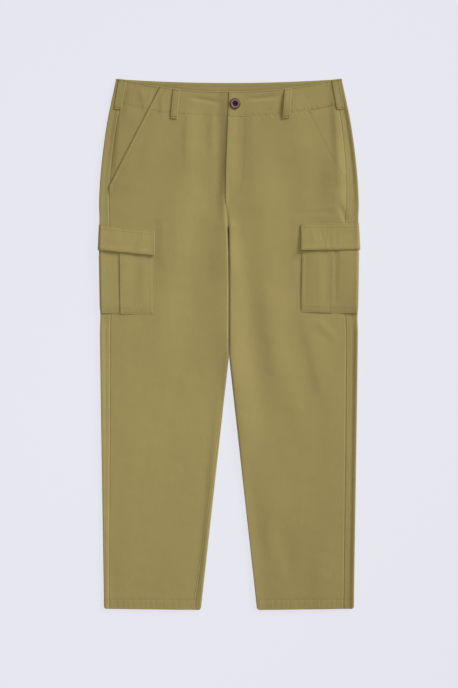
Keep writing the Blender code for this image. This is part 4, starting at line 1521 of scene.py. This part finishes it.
@functools.cache
def dye_group():
    """Garment-dyed cotton: soft mottling; paler edges, partly rubbed wear and partly painted highlight;
    a duller inner face, partly the twill's back and partly painted shade.
    """
    inputs = [
        ("Position", "Vector", None),
        ("Thread", "Float", 0.5),
        ("Worn and lit edge", "Float", 0.0),
        ("Inside", "Float", 0.0),
        ("Dye", "Color", (0.3, 0.25, 0.1, 1.0)),
        ("Worn and lit dye", "Color", (0.4, 0.33, 0.16, 1.0)),
        ("Mottling", "Float", 0.05),
    ]
    outputs = [("Colour", "Color"), ("Roughness", "Float")]
    tree, source, target = new_group("Garment dye", inputs, outputs)
    math_of = functools.partial(arithmetic, tree)
    position = source["Position"]
    cloud = noise(tree, position, scale=9.0, detail=3.0, roughness=0.55)
    fleck = noise(tree, position, scale=130.0, roughness=0.6)
    shade = math_of("MULTIPLY_ADD", cloud, 1.0, math_of("MULTIPLY", fleck, FLECK_SHARE))
    shade = math_of("ADD", shade, math_of("MULTIPLY", source["Thread"], THREAD_SHARE))
    streak = noise(tree, stretched(tree, position, lengthwise=0.13), scale=300.0, roughness=0.6)
    shade = math_of("MULTIPLY_ADD", streak, STREAK_SHARE, shade)
    shade = math_of("SUBTRACT", shade, SHADE_MIDDLE)
    tone = math_of("MULTIPLY_ADD", shade, source["Mottling"], 1.0)
    grey = add_node(tree, "ShaderNodeCombineColor", {0: tone, 1: tone, 2: tone})
    colour = mix_colour(tree, 1.0, source["Dye"], grey, "MULTIPLY")
    # Paler edges: partly rubbed wear, partly painted highlight along the folds.
    patchy_wear_and_highlight = math_of("MULTIPLY", source["Worn and lit edge"], noise(tree, position, scale=90.0))
    colour = mix_colour(tree, patchy_wear_and_highlight, colour, source["Worn and lit dye"])
    # Painted shade: the inner face, and the rims by a share, darken towards the dull dye.
    dull_and_shade = math_of("MULTIPLY", source["Inside"], INSIDE_DULLNESS_AND_SHADE)
    colour = mix_colour(tree, dull_and_shade, colour, DULL_AND_SHADED_DYE)
    roughness = math_of("MULTIPLY_ADD", fleck, ROUGHNESS_SPAN, LEAST_ROUGHNESS)
    feed(tree, target, {"Colour": colour, "Roughness": roughness})
    return tree


def new_material(name):
    material = bpy.data.materials.new(name)
    material.use_nodes = True
    return material, material.node_tree, material.node_tree.nodes["Principled BSDF"]


def add_group(tree, group, inputs):
    node = tree.nodes.new("ShaderNodeGroup")
    node.node_tree = group
    feed(tree, node, inputs)
    return node.outputs


@functools.cache
def cloth_material():
    cloth = settings().cloth
    material, tree, shader = new_material("Khaki cotton twill")
    laid = add_node(tree, "ShaderNodeUVMap", {}, "UV", uv_map="cloth")
    weave = add_group(tree, weave_group(), {"Rib pitch": cloth.rib_pitch, "Cloth position": laid})
    dyed = {
        "Dye": (*cloth.dye, 1.0),
        "Worn and lit dye": (*cloth.worn_and_lit_dye, 1.0),
        "Mottling": cloth.mottling,
        "Position": own_place(tree),
        "Thread": weave["Thread"],
        "Worn and lit edge": attribute_value(tree, "edge"),
        "Inside": attribute_value(tree, "inside"),
    }
    dye = add_group(tree, dye_group(), dyed)
    finish = {
        "Base Color": dye["Colour"],
        "Roughness": dye["Roughness"],
        "Normal": bump(tree, weave["Height"], strength=0.5, distance=0.00015),
        "Specular IOR Level": 0.15,
        "Sheen Weight": 0.03,
        "Sheen Roughness": 0.5,
        "Sheen Tint": (0.85, 0.78, 0.6, 1.0),
    }
    feed(tree, shader, finish)
    return material


THREAD_SHADE = 0.82


@functools.cache
def thread_material():
    material, tree, shader = new_material("Khaki cotton thread")
    strand = noise(tree, own_place(tree), scale=2500.0, detail=1.0)
    # The thread's colour is darker than the cloth's, to paint the shade along the stitch rows; the
    # noise varies it from strand to strand.
    thread = settings().stitches.thread
    darker = tuple(THREAD_SHADE * channel for channel in thread)
    finish = {
        "Base Color": mix_colour(tree, strand, (*darker, 1.0), (*thread, 1.0)),
        "Normal": bump(tree, strand, strength=0.4, distance=0.0001),
        "Roughness": 0.7,
        "Specular IOR Level": 0.35,
    }
    feed(tree, shader, finish)
    return material


BUTTON_RUB = 0.05
# The button's least roughness, and how much more it has where it is rubbed.
BUTTON_GLOSS = 0.42
BUTTON_GLOSS_SPAN = 0.2


@functools.cache
def button_material():
    """Dark bronze with a satin, slightly rubbed surface: rim, paler ring and centre by radius."""
    button = settings().button
    material, tree, shader = new_material("Dark bronze button")
    ramp = tree.nodes.new("ShaderNodeValToRGB")
    stops = [
        # share of the radius, colour
        (0.00, button.centre),
        (0.46, button.centre),
        (0.54, button.ring),
        (0.76, button.ring),
        (0.84, button.rim),
        (1.00, button.rim),
    ]
    while len(ramp.color_ramp.elements) < len(stops):
        ramp.color_ramp.elements.new(0.5)
    for element, (position, colour) in zip(ramp.color_ramp.elements, stops):
        element.position = position
        element.color = (*colour, 1.0)
    feed(tree, ramp, {"Fac": attribute_value(tree, "radius")})
    rub = noise(tree, own_place(tree), scale=900.0, detail=3.0, roughness=0.6)
    rubbed = arithmetic(tree, "MULTIPLY", rub, BUTTON_RUB)
    finish = {
        "Base Color": mix_colour(tree, rubbed, ramp.outputs["Color"], (*button.ring, 1.0)),
        "Roughness": arithmetic(tree, "MULTIPLY_ADD", rub, BUTTON_GLOSS_SPAN, BUTTON_GLOSS),
        "Normal": bump(tree, rub, strength=0.2, distance=0.0001),
        "Metallic": 0.25,
        "Specular IOR Level": 0.2,
    }
    feed(tree, shader, finish)
    return material


# ---- Stitches ---------------------------------------------------------------------------------


BEAD_SEGMENTS = 8
BEAD_RINGS = 5


@functools.cache
def stitch_tree():
    """Short thread beads along each path, turned to it and standing on the cloth."""
    inputs = [("Path", "Geometry", None)]
    inputs += [(label, "Float", None) for label in ("Pitch", "Length", "Width", "Height", "Skew")]
    inputs += [("Seed", "Int", None), ("Thread", "Material", None)]
    outputs = [("Stitches", "Geometry")]
    tree, source, target = new_group("Stitch row", inputs, outputs, "GeometryNodeTree")
    add = functools.partial(add_node, tree)
    curve = add("GeometryNodeMeshToCurve", {"Mesh": source["Path"]})
    even = add("GeometryNodeResampleCurve", {"Curve": curve, "Length": source["Pitch"]}, mode="LENGTH")
    shape = {"Segments": BEAD_SEGMENTS, "Rings": BEAD_RINGS, "Radius": 0.5}
    bead = add("GeometryNodeMeshUVSphere", shape, "Mesh")
    size = {"X": source["Length"], "Y": source["Width"], "Z": source["Height"]}
    bead_size = add("ShaderNodeCombineXYZ", size)
    stitch = add("GeometryNodeTransform", {"Geometry": bead, "Scale": bead_size})
    tangent = add("GeometryNodeInputTangent", {})
    outward = add(
        "GeometryNodeInputNamedAttribute", {"Name": "outward"}, "Attribute", data_type="FLOAT_VECTOR"
    )
    align = "FunctionNodeAlignRotationToVector"
    along = add(align, {"Vector": tangent}, axis="X")
    upright = add(align, {"Rotation": along, "Vector": outward}, axis="Z", pivot_axis="X")
    low = add("ShaderNodeMath", {0: source["Skew"], 1: -1.0}, operation="MULTIPLY")
    spread = {2: low, 3: source["Skew"], "Seed": source["Seed"]}
    turn = add("FunctionNodeRandomValue", spread, 1, data_type="FLOAT")
    spin = add("ShaderNodeCombineXYZ", {"Z": turn})
    skewed = add("FunctionNodeRotateRotation", {0: upright, 1: spin}, rotation_space="LOCAL")
    placed = {"Points": even, "Instance": stitch, "Rotation": skewed}
    rows = add("GeometryNodeInstanceOnPoints", placed)
    real = add("GeometryNodeRealizeInstances", {"Geometry": rows})
    smooth = add("GeometryNodeSetShadeSmooth", {"Geometry": real})
    painted = add("GeometryNodeSetMaterial", {"Geometry": smooth, "Material": source["Thread"]})
    feed(tree, target, {0: painted})
    return tree


PATH_STEP = 2.0
STITCH_LIFT = 0.08
# A row's points, and how far in from a piece's edge it starts, in columns.
ROW_POINTS = 260
FLAP_ROW_POINTS = 200
END_IN = 0.4
# A row that runs up a piece stops this far from its ends.
ROW_END = 1.0
LOOP_ROW_START = 1.5
SLANT_ROW_BELOW = 6.0
INSEAM_ROW_TOP = LEGS_PART - 40.0
# The fly's stitching runs straight down, then swings in to the centre seam.
FLY_BEND_TOP = 336.0
FLY_BEND_DROP = 59.0
FLY_END_IN = 1.5
FLY_BEND_POINTS = 40
CROTCH_ROW = 3.3
LINING_ROW = 6.0
TACK_LEVELS = (2.0, 3.0, 4.0)
TACK_IN = 1.2
TACK_POINTS = 12


def path_of(grid, level, cols):
    """A stitch line over a grid, through the given levels and column places."""
    points, outward = grid.at(grid.row(level), cols)
    return points + outward * STITCH_LIFT, outward


def inside_out(grid):
    return Grid((grid.inner, grid.outer), grid.levels, grid.first_steps, grid.last_steps)


def full_width(grid):
    return np.linspace(END_IN, grid.outer.shape[1] - 1.0 - END_IN, ROW_POINTS)


def front_panel_stitches(key):
    grid, side = grid_of(f"front_panel_{key}"), SIDES[key]
    levels = np.arange(slant_foot(side) - SLANT_ROW_BELOW, LEG_TOP - ROW_END, PATH_STEP)
    paths = [path_of(grid, levels, grid.from_first(row)) for row in SLANT_ROWS]
    paths.append(path_of(grid, HEM + HEM_HEIGHT, full_width(grid)))
    if key == "r":
        leg = np.arange(HEM + ROW_END, INSEAM_ROW_TOP, PATH_STEP)
        paths.append(path_of(grid, leg, grid.from_last(INSEAM_ROW)))
        return paths
    straight = np.arange(LEG_TOP - ROW_END, FLY_BEND_TOP, -PATH_STEP)
    swing = np.linspace(0.0, math.pi / 2, FLY_BEND_POINTS)
    level = np.concatenate([straight, FLY_BEND_TOP - ROW_END - FLY_BEND_DROP * np.sin(swing)])
    bend = FLY_END_IN + (FLY_STITCH - FLY_END_IN) * np.cos(swing)
    inward = np.concatenate([np.full(len(straight), FLY_STITCH), bend])
    paths.append(path_of(grid, level, grid.from_last(inward)))
    rise = np.arange(CROTCH + CROTCH_RUN, FLY_FOOT, PATH_STEP)
    paths.append(path_of(grid, rise, grid.from_last(CROTCH_ROW)))
    return paths


def back_panel_stitches(key):
    grid, side = grid_of(f"back_panel_{key}"), SIDES[key]
    levels = np.arange(HEM + ROW_END, LEG_TOP - ROW_END, PATH_STEP)
    share = FELLED_ROW / (side_seam(side, levels) - GAP / 2 - TURN)
    felled = np.interp(share, WRAP_SHARES, np.arange(len(WRAP_SHARES)))
    wrapped = len(INSEAM_SHARES) if key == "r" else 0
    hem = np.linspace(END_IN, grid.outer.shape[1] - wrapped - 2.0, ROW_POINTS)
    seat = np.arange(CROTCH + 2 * CROTCH_RUN, LEG_TOP - ROW_END, PATH_STEP)
    seat_column = grid.outer.shape[1] - 1.0 - len(TURN_SHARES) - wrapped
    places = ((levels, felled), (HEM + HEM_HEIGHT, hem), (seat, seat_column))
    return [path_of(grid, level, cols) for level, cols in places]


def band_stitches(node):
    grid = grid_of(node)
    paths = [path_of(grid, level, full_width(grid)) for level in (BAND_ROW, BAND - BAND_ROW)]
    if node == "waistband_back":
        paths.append(path_of(inside_out(grid), BAND - LINING_ROW, full_width(grid)))
    if node.startswith("waistband_front"):
        up = np.arange(2 * ROW_END, BAND - 2 * ROW_END, PATH_STEP)
        paths.append(path_of(grid, up, grid.from_first(SLANT_ROWS[0])))
        if node.endswith("_l"):
            paths.append(path_of(grid, up, grid.from_last(SLANT_ROWS[0])))
    return paths


def loop_stitches(node):
    grid = grid_of(node)
    length, width = BAND + LOOP_BELOW, grid.first_steps[-1]
    up = np.arange(LOOP_ROW_START, length - ROW_END, PATH_STEP)
    paths = [path_of(grid, up, grid.from_first(place)) for place in (LOOP_ROW, width - LOOP_ROW)]
    across = grid.from_first(np.linspace(TACK_IN, width - TACK_IN, TACK_POINTS))
    tacks = [*TACK_LEVELS, length - TACK_LEVELS[2], length - TACK_LEVELS[1]]
    return paths + [path_of(grid, level, across) for level in tacks]


def section_stitches(key, section):
    """A pocket section's rows: along its foot, and up the side that is sewn down."""
    grid = grid_of(f"cargo_pocket_{section}_{key}")
    paths = []
    for row in POCKET_ROWS:
        cols = full_width(grid)
        if section != "pleat":
            at_front = section == "front"
            edge = grid.from_first(row) if at_front else grid.from_last(row)
            cols = cols[cols > edge] if at_front else cols[cols < edge]
            paths.append(path_of(grid, np.arange(row, grid.levels[-1] - ROW_END, PATH_STEP), edge))
        paths.append(path_of(grid, row, cols))
    return paths


def pocket_stitches(key):
    paths = [path for section in ("front", "pleat", "back") for path in section_stitches(key, section)]
    flap = grid_of(f"cargo_flap_{key}")
    first, last = flap.from_first(FLAP_ROW), flap.from_last(FLAP_ROW)
    top = flap.levels[-1]
    up = np.arange(FLAP_ROW, top - ROW_END, PATH_STEP)
    paths += [path_of(flap, up, column) for column in (first, last)]
    cols = np.linspace(first, last, FLAP_ROW_POINTS)
    levels = [FLAP_ROW] + [top - row for row in FLAP_TOP_ROWS]
    return paths + [path_of(flap, level, cols) for level in levels]


def path_mesh(name, paths):
    points = np.concatenate([path[0] for path in paths])
    points[:, 2] = np.maximum(points[:, 2], STITCH_LOWEST)
    points = to_metres(points)
    outward = np.concatenate([path[1] for path in paths])
    edges, start = [], 0
    for path_points, _ in paths:
        count = len(path_points)
        edges += [(start + k, start + k + 1) for k in range(count - 1)]
        start += count
    mesh = bpy.data.meshes.new(name)
    mesh.from_pydata(points, edges, [])
    store(mesh, "outward", "FLOAT_VECTOR", "vector", outward)
    return mesh


def add_stitches(name, paths):
    """Runs the stitch tree over the paths, and keeps the result as a plain mesh."""
    guide = link(f"{name}_guide", path_mesh(f"{name}_guide", paths))
    tree = stitch_tree()
    modifier = guide.modifiers.new("Stitch row", "NODES")
    modifier.node_group = tree
    sizes = settings().stitches
    names = ("pitch", "length", "width", "height", "skew", "seed")
    values = {name.title(): getattr(sizes, name) for name in names}
    values["Thread"] = thread_material()
    for item in tree.interface.items_tree:
        if item.name in values and item.in_out == "INPUT":
            modifier[item.identifier] = values[item.name]
    depsgraph = bpy.context.evaluated_depsgraph_get()
    mesh = bpy.data.meshes.new_from_object(guide.evaluated_get(depsgraph), depsgraph=depsgraph)
    guide.modifiers.remove(modifier)
    bpy.data.objects.remove(guide, do_unlink=True)
    if not mesh.polygons:
        raise RuntimeError(f"{name}: the stitch tree made nothing")
    places = np.empty(3 * len(mesh.vertices), dtype=np.float32)
    mesh.vertices.foreach_get("co", places)
    places[2::3] = np.maximum(places[2::3], 0.0)
    mesh.vertices.foreach_set("co", places)
    mesh.update()
    mesh.name = name
    obj = link(name, mesh)
    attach(obj, "root")
    return obj


# ---- The button -------------------------------------------------------------------------------

BUTTON_SEGMENTS = 96
BUTTON_STEPS = 7
BUTTON_BOTTOM_SHARE = 0.6
BUTTON_DOME = 0.25


def button_profile():
    """The head's radius and height, in metres, from under its rim to the middle of its dome."""
    profile = np.array(BUTTON_PROFILE) * MM
    bottom, dome = [profile[0, 0] * BUTTON_BOTTOM_SHARE, 0.0], [0.0, profile[-1, 1] + BUTTON_DOME * MM]
    rows = np.concatenate([[bottom], profile, [dome]])
    stations = np.arange(len(rows), dtype=float)
    fine = np.linspace(0.0, len(rows) - 1.0, (len(rows) - 1) * BUTTON_STEPS + 1)
    return [np.maximum(curved(list(zip(stations, rows[:, axis])), fine), 0.0) for axis in (0, 1)]


def add_button():
    """The tack button's head, turned: a rounded rim, a sunk ring and a domed centre."""
    low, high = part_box("waist_button")
    centre = (low + high) / 2
    band = grid_of("waistband_front_l").outer
    near = np.hypot(band[..., 0] - BUTTON_AT[0], band[..., 1] - BUTTON_AT[1]) < BUTTON_PROFILE[0][0]
    base = (band[near, 2].mean() + LIFT) * MM
    radius, height = button_profile()
    turn = 2 * math.pi * np.arange(BUTTON_SEGMENTS) / BUTTON_SEGMENTS
    ring_x = centre.x + radius[:-1, None] * np.cos(turn)
    ring_y = centre.y + radius[:-1, None] * np.sin(turn)
    ring_z = base + height[:-1, None] + 0 * turn
    points = np.stack([ring_x, ring_y, ring_z], axis=-1).reshape(-1, 3)
    poles = [[centre.x, centre.y, base], [centre.x, centre.y, base + height[-1]]]
    points = np.concatenate([points, poles])
    bottom, top = len(points) - 2, len(points) - 1
    last = (len(radius) - 2) * BUTTON_SEGMENTS
    faces = []
    for i in range(BUTTON_SEGMENTS):
        after = (i + 1) % BUTTON_SEGMENTS
        for ring in range(0, last, BUTTON_SEGMENTS):
            above = ring + BUTTON_SEGMENTS
            faces.append((ring + i, ring + after, above + after, above + i))
        faces.append((bottom, after, i))
        faces.append((top, last + i, last + after))
    mesh = bpy.data.meshes.new("waist_button_turned")
    mesh.from_pydata(points, [], faces)
    mesh.shade_smooth()
    widest = max(row[0] for row in BUTTON_PROFILE) * MM
    shares = np.concatenate([np.repeat(radius[:-1], BUTTON_SEGMENTS), [0.0, 0.0]]) / widest
    store(mesh, "radius", "FLOAT", "value", shares)
    mesh.materials.append(button_material())
    obj = link("waist_button_turned", mesh)
    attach(obj, "root")
    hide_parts("waist_button")
    return obj


# ---- The stage --------------------------------------------------------------------------------

# The stage's sizes and places are in metres, apart from the camera's sensor.
FLOOR_SIZE = 8.0
DOME_COLOUR = (1.1, 1.0, 0.6, 1.0)
SOFT_BOXES = [
    # x, y, share of the boxes' light
    (-0.31, -0.22, 0.58),
    (0.16, 0.29, 0.45),
]
FLOOR_BELOW = 0.0001
CAMERA_REACH = 50.0
PICTURE_HEIGHT = 1.348
PICTURE_MIDDLE = (0.0001, 0.0007)
SENSOR = 36.0


def add_floor():
    """A pale floor that glows a little, as a light table does, so shadows on it stay soft."""
    stage = settings().stage
    half = FLOOR_SIZE / 2
    corners = [(-half, -half), (half, -half), (half, half), (-half, half)]
    mesh = bpy.data.meshes.new("studio_floor")
    mesh.from_pydata([(x, y, -FLOOR_BELOW) for x, y in corners], [], [(0, 1, 2, 3)])
    material, tree, shader = new_material("Pale studio floor")
    matt = [channel * (1.0 - stage.floor_glow) for channel in stage.floor_colour]
    finish = {
        "Base Color": (*matt, 1.0),
        "Roughness": 1.0,
        "Specular IOR Level": 0.0,
        "Emission Color": (*stage.floor_colour, 1.0),
        "Emission Strength": stage.floor_glow,
    }
    feed(tree, shader, finish)
    mesh.materials.append(material)
    link("studio_floor", mesh)


def add_dome():
    """A warm, even dome over the whole floor. The camera sees the floor's colour in its place."""
    stage = settings().stage
    world = bpy.data.worlds.new("Studio dome")
    bpy.context.scene.world = world
    world.use_nodes = True
    tree = world.node_tree
    dome = tree.nodes["Background"]
    feed(tree, dome, {"Color": DOME_COLOUR, "Strength": stage.dome_share})
    backdrop = add_node(tree, "ShaderNodeBackground", {"Color": (*stage.floor_colour, 1.0)})
    seen = add_node(tree, "ShaderNodeLightPath", {}, "Is Camera Ray")
    mix = add_node(tree, "ShaderNodeMixShader", {0: seen, 1: dome.outputs[0], 2: backdrop})
    feed(tree, tree.nodes["World Output"], {"Surface": mix})


def add_key_light():
    """One soft key light, low from the upper right."""
    stage = settings().stage
    rise, flat = math.sin(stage.key_elevation), math.cos(stage.key_elevation)
    key = bpy.data.lights.new("Key light", "SUN")
    key.energy = stage.key_share * math.pi / rise
    key.angle = stage.key_softness
    lamp = link("Key light", key)
    towards = (flat * math.cos(stage.key_bearing), flat * math.sin(stage.key_bearing), rise)
    lamp.rotation_mode = "QUATERNION"
    lamp.rotation_quaternion = Vector(towards).to_track_quat("Z", "Y")


def add_soft_boxes():
    """Two soft boxes, over the right shin and over the left hip: the cloth darkens away from them."""
    stage = settings().stage
    height = stage.box_height
    for x, y, share in SOFT_BOXES:
        box = bpy.data.lights.new("Soft box", "AREA")
        box.shape = "SQUARE"
        box.size = stage.box_size
        box.energy = share * stage.box_share * math.pi**2 * (height**2 + stage.box_size**2 / 4)
        lamp = link("Soft box", box)
        lamp.location = (x, y, height)


def add_camera():
    """Straight above the garment, far enough back for the picture's height."""
    stage = settings().stage
    camera = bpy.data.cameras.new("Camera")
    camera.lens = stage.lens
    camera.sensor_width = SENSOR
    camera.clip_end = CAMERA_REACH
    obj = link("Camera", camera)
    top = CAD_BOX[1].z / 2
    obj.location = (*PICTURE_MIDDLE, top + PICTURE_HEIGHT * stage.lens / SENSOR)
    bpy.context.scene.camera = obj


# ---- The add-on -------------------------------------------------------------------------------


LengthProperty = functools.partial(FloatProperty, unit="LENGTH")
ShareProperty = functools.partial(FloatProperty, subtype="FACTOR")
AngleProperty = functools.partial(FloatProperty, subtype="ANGLE")
ColourProperty = functools.partial(FloatVectorProperty, subtype="COLOR")


class PANTS_PG_cloth(bpy.types.PropertyGroup):
    """The cotton twill."""

    wall: LengthProperty(
        name="Cloth thickness",
        description="Thickness of one layer of the twill",
        default=0.0009,
    )
    band_wall: LengthProperty(
        name="Doubled thickness",
        description="Thickness of the waistband and the pocket flaps, which are two layers",
        default=0.0015,
    )
    crease_depth: ShareProperty(
        name="Crease depth",
        description="How deep the soft creases are, as a share of their own heights",
        default=1.0,
    )
    rib_pitch: LengthProperty(
        name="Rib pitch",
        description="Distance from one diagonal rib of the twill to the next",
        default=RIB_PITCH,
    )
    dye: ColourProperty(name="Dye", description="Colour of the cloth", default=(0.31, 0.2545, 0.1045))
    # Paler dye of the folded edges: partly rubbed wear, partly painted highlight.
    worn_and_lit_dye: ColourProperty(
        name="Worn and lit dye",
        description="Colour of the cloth where its folded edges are rubbed",
        default=(0.33, 0.27, 0.118),
    )
    mottling: ShareProperty(
        name="Mottling",
        description="How much the dye's shade varies over the cloth",
        default=0.085,
    )


class PANTS_PG_stitches(bpy.types.PropertyGroup):
    """The topstitching."""

    pitch: LengthProperty(
        name="Pitch", description="Distance from one stitch to the next", default=0.003
    )
    length: LengthProperty(name="Length", description="Length of a stitch", default=0.0025)
    width: LengthProperty(name="Width", description="Width of the thread", default=0.0006)
    height: LengthProperty(name="Height", description="Height of a stitch", default=0.00045)
    skew: AngleProperty(
        name="Skew",
        description="The most that a stitch turns away from its row",
        default=math.radians(4.0),
    )
    seed: IntProperty(
        name="Seed",
        description="Seed of the stitches' skew",
        default=5,
        subtype="UNSIGNED",
    )
    # The thread is painted darker than the cloth, as the shade along the stitch rows.
    thread: ColourProperty(
        name="Thread", description="Colour of the sewing thread", default=(0.255, 0.2, 0.07)
    )


class PANTS_PG_button(bpy.types.PropertyGroup):
    """The waist button's finish."""

    rim: ColourProperty(name="Rim", description="Colour of the rim", default=(0.085, 0.042, 0.032))
    ring: ColourProperty(
        name="Ring", description="Colour of the paler ring", default=(0.23, 0.145, 0.155)
    )
    centre: ColourProperty(
        name="Centre", description="Colour of the centre", default=(0.018, 0.004, 0.011)
    )


class PANTS_PG_stage(bpy.types.PropertyGroup):
    """The floor, the lights and the camera."""

    floor_colour: ColourProperty(
        name="Floor", description="Colour of the floor", default=(0.803, 0.803, 0.876)
    )
    floor_glow: ShareProperty(
        name="Floor glow",
        description="Share of the floor's brightness that it gives out itself",
        default=0.9,
    )
    key_share: ShareProperty(
        name="Key share",
        description="Share of the light on the floor that comes from the key light",
        default=0.45,
    )
    dome_share: ShareProperty(
        name="Dome share",
        description="Share of the light on the floor that comes from the dome",
        default=0.22,
    )
    box_share: ShareProperty(
        name="Soft box share",
        description="Share of the light on the floor that the soft boxes would give right under them",
        default=0.46,
    )
    box_height: LengthProperty(
        name="Soft box height",
        description="Height of the soft boxes over the floor",
        default=0.85,
    )
    box_size: LengthProperty(
        name="Soft box size", description="Side of each square soft box", default=0.4
    )
    key_elevation: AngleProperty(
        name="Key elevation",
        description="Height of the key light over the horizon",
        default=math.radians(22.0),
    )
    key_bearing: AngleProperty(
        name="Key bearing",
        description="Direction of the key light from +X towards +Y",
        default=math.radians(42.0),
    )
    key_softness: AngleProperty(
        name="Key softness",
        description="Angle that the key light fills in the sky",
        default=math.radians(22.0),
    )
    lens: FloatProperty(
        name="Lens",
        description="Focal length of the camera",
        default=85.0,
        subtype="DISTANCE_CAMERA",
    )


class PANTS_PG_settings(bpy.types.PropertyGroup):
    """All the settings of the cargo pants."""

    cloth: PointerProperty(name="Cloth", description="The cotton twill", type=PANTS_PG_cloth)
    stitches: PointerProperty(name="Stitches", description="The topstitching", type=PANTS_PG_stitches)
    button: PointerProperty(name="Button", description="The waist button", type=PANTS_PG_button)
    stage: PointerProperty(name="Stage", description="Floor, lights and camera", type=PANTS_PG_stage)


class PANTS_OT_leg_panels(bpy.types.Operator):
    """Make the front and back leg panels and the pocket facings"""

    bl_idname = "cargo_pants.leg_panels"
    bl_label = "Leg panels"

    def execute(self, context):
        for key in SIDES:
            add_cloth(f"back_panel_{key}")
            add_cloth(f"pocket_facing_{key}")
            add_cloth(f"front_panel_{key}")
        return {"FINISHED"}


class PANTS_OT_waistband(bpy.types.Operator):
    """Make the five pieces of the waistband"""

    bl_idname = "cargo_pants.waistband"
    bl_label = "Waistband"

    def execute(self, context):
        add_cloth("waistband_back")
        for key in SIDES:
            add_cloth(f"waistband_side_{key}")
            add_cloth(f"waistband_front_{key}")
        return {"FINISHED"}


class PANTS_OT_belt_loops(bpy.types.Operator):
    """Make the four belt loops"""

    bl_idname = "cargo_pants.belt_loops"
    bl_label = "Belt loops"

    def execute(self, context):
        for key in SIDES:
            for which in ("front", "side"):
                add_cloth(f"belt_loop_{which}_{key}")
        return {"FINISHED"}


class PANTS_OT_cargo_pockets(bpy.types.Operator):
    """Make the pleated cargo pockets and their flaps"""

    bl_idname = "cargo_pants.cargo_pockets"
    bl_label = "Cargo pockets"

    def execute(self, context):
        for key in SIDES:
            add_cloth(f"cargo_pocket_pleat_{key}")
            add_cloth(f"cargo_pocket_back_{key}")
            add_cloth(f"cargo_pocket_front_{key}")
            add_cloth(f"cargo_flap_{key}")
        return {"FINISHED"}


class PANTS_OT_stitches(bpy.types.Operator):
    """Sew the rows of topstitching"""

    bl_idname = "cargo_pants.stitches"
    bl_label = "Stitches"

    def execute(self, context):
        bands = ["waistband_back"]
        loops = []
        for key in SIDES:
            bands += [f"waistband_front_{key}", f"waistband_side_{key}"]
            loops += [f"belt_loop_front_{key}", f"belt_loop_side_{key}"]
        band_paths = [path for node in bands for path in band_stitches(node)]
        add_stitches("stitches_waistband", band_paths)
        add_stitches("stitches_belt_loops", [path for node in loops for path in loop_stitches(node)])
        for key in SIDES:
            add_stitches(f"stitches_leg_{key}", front_panel_stitches(key) + back_panel_stitches(key))
            add_stitches(f"stitches_cargo_pocket_{key}", pocket_stitches(key))
        return {"FINISHED"}


class PANTS_OT_button(bpy.types.Operator):
    """Turn the waist button"""

    bl_idname = "cargo_pants.button"
    bl_label = "Button"

    def execute(self, context):
        add_button()
        return {"FINISHED"}


class PANTS_OT_stage(bpy.types.Operator):
    """Set the floor, the lights and the camera"""

    bl_idname = "cargo_pants.stage"
    bl_label = "Stage"

    def execute(self, context):
        add_floor()
        add_dome()
        add_key_light()
        add_soft_boxes()
        add_camera()
        context.scene.view_settings.view_transform = "Standard"
        return {"FINISHED"}


OPERATORS = (
    PANTS_OT_stage,
    PANTS_OT_leg_panels,
    PANTS_OT_waistband,
    PANTS_OT_belt_loops,
    PANTS_OT_cargo_pockets,
    PANTS_OT_stitches,
    PANTS_OT_button,
)


class PANTS_PT_build(bpy.types.Panel):
    """The sizes, colours and steps of the cargo pants"""

    bl_idname = "PANTS_PT_build"
    bl_label = "Cargo pants"
    bl_space_type = "VIEW_3D"
    bl_region_type = "UI"
    bl_category = "Cargo pants"

    def draw(self, context):
        pants = context.scene.cargo_pants
        for group in (pants.cloth, pants.stitches, pants.button, pants.stage):
            box = self.layout.box()
            for name in group.__annotations__:
                box.prop(group, name)
        for operator in OPERATORS:
            self.layout.operator(operator.bl_idname)


CLASSES = (
    PANTS_PG_cloth,
    PANTS_PG_stitches,
    PANTS_PG_button,
    PANTS_PG_stage,
    PANTS_PG_settings,
    *OPERATORS,
    PANTS_PT_build,
)


def register():
    for cls in CLASSES:
        bpy.utils.register_class(cls)
    bpy.types.Scene.cargo_pants = PointerProperty(type=PANTS_PG_settings)


def unregister():
    del bpy.types.Scene.cargo_pants
    for cls in reversed(CLASSES):
        bpy.utils.unregister_class(cls)


def main():
    register()
    steps = bpy.ops.cargo_pants
    for operator in OPERATORS:
        getattr(steps, operator.bl_idname.split(".")[1])()


if __name__ == "__main__":
    main()
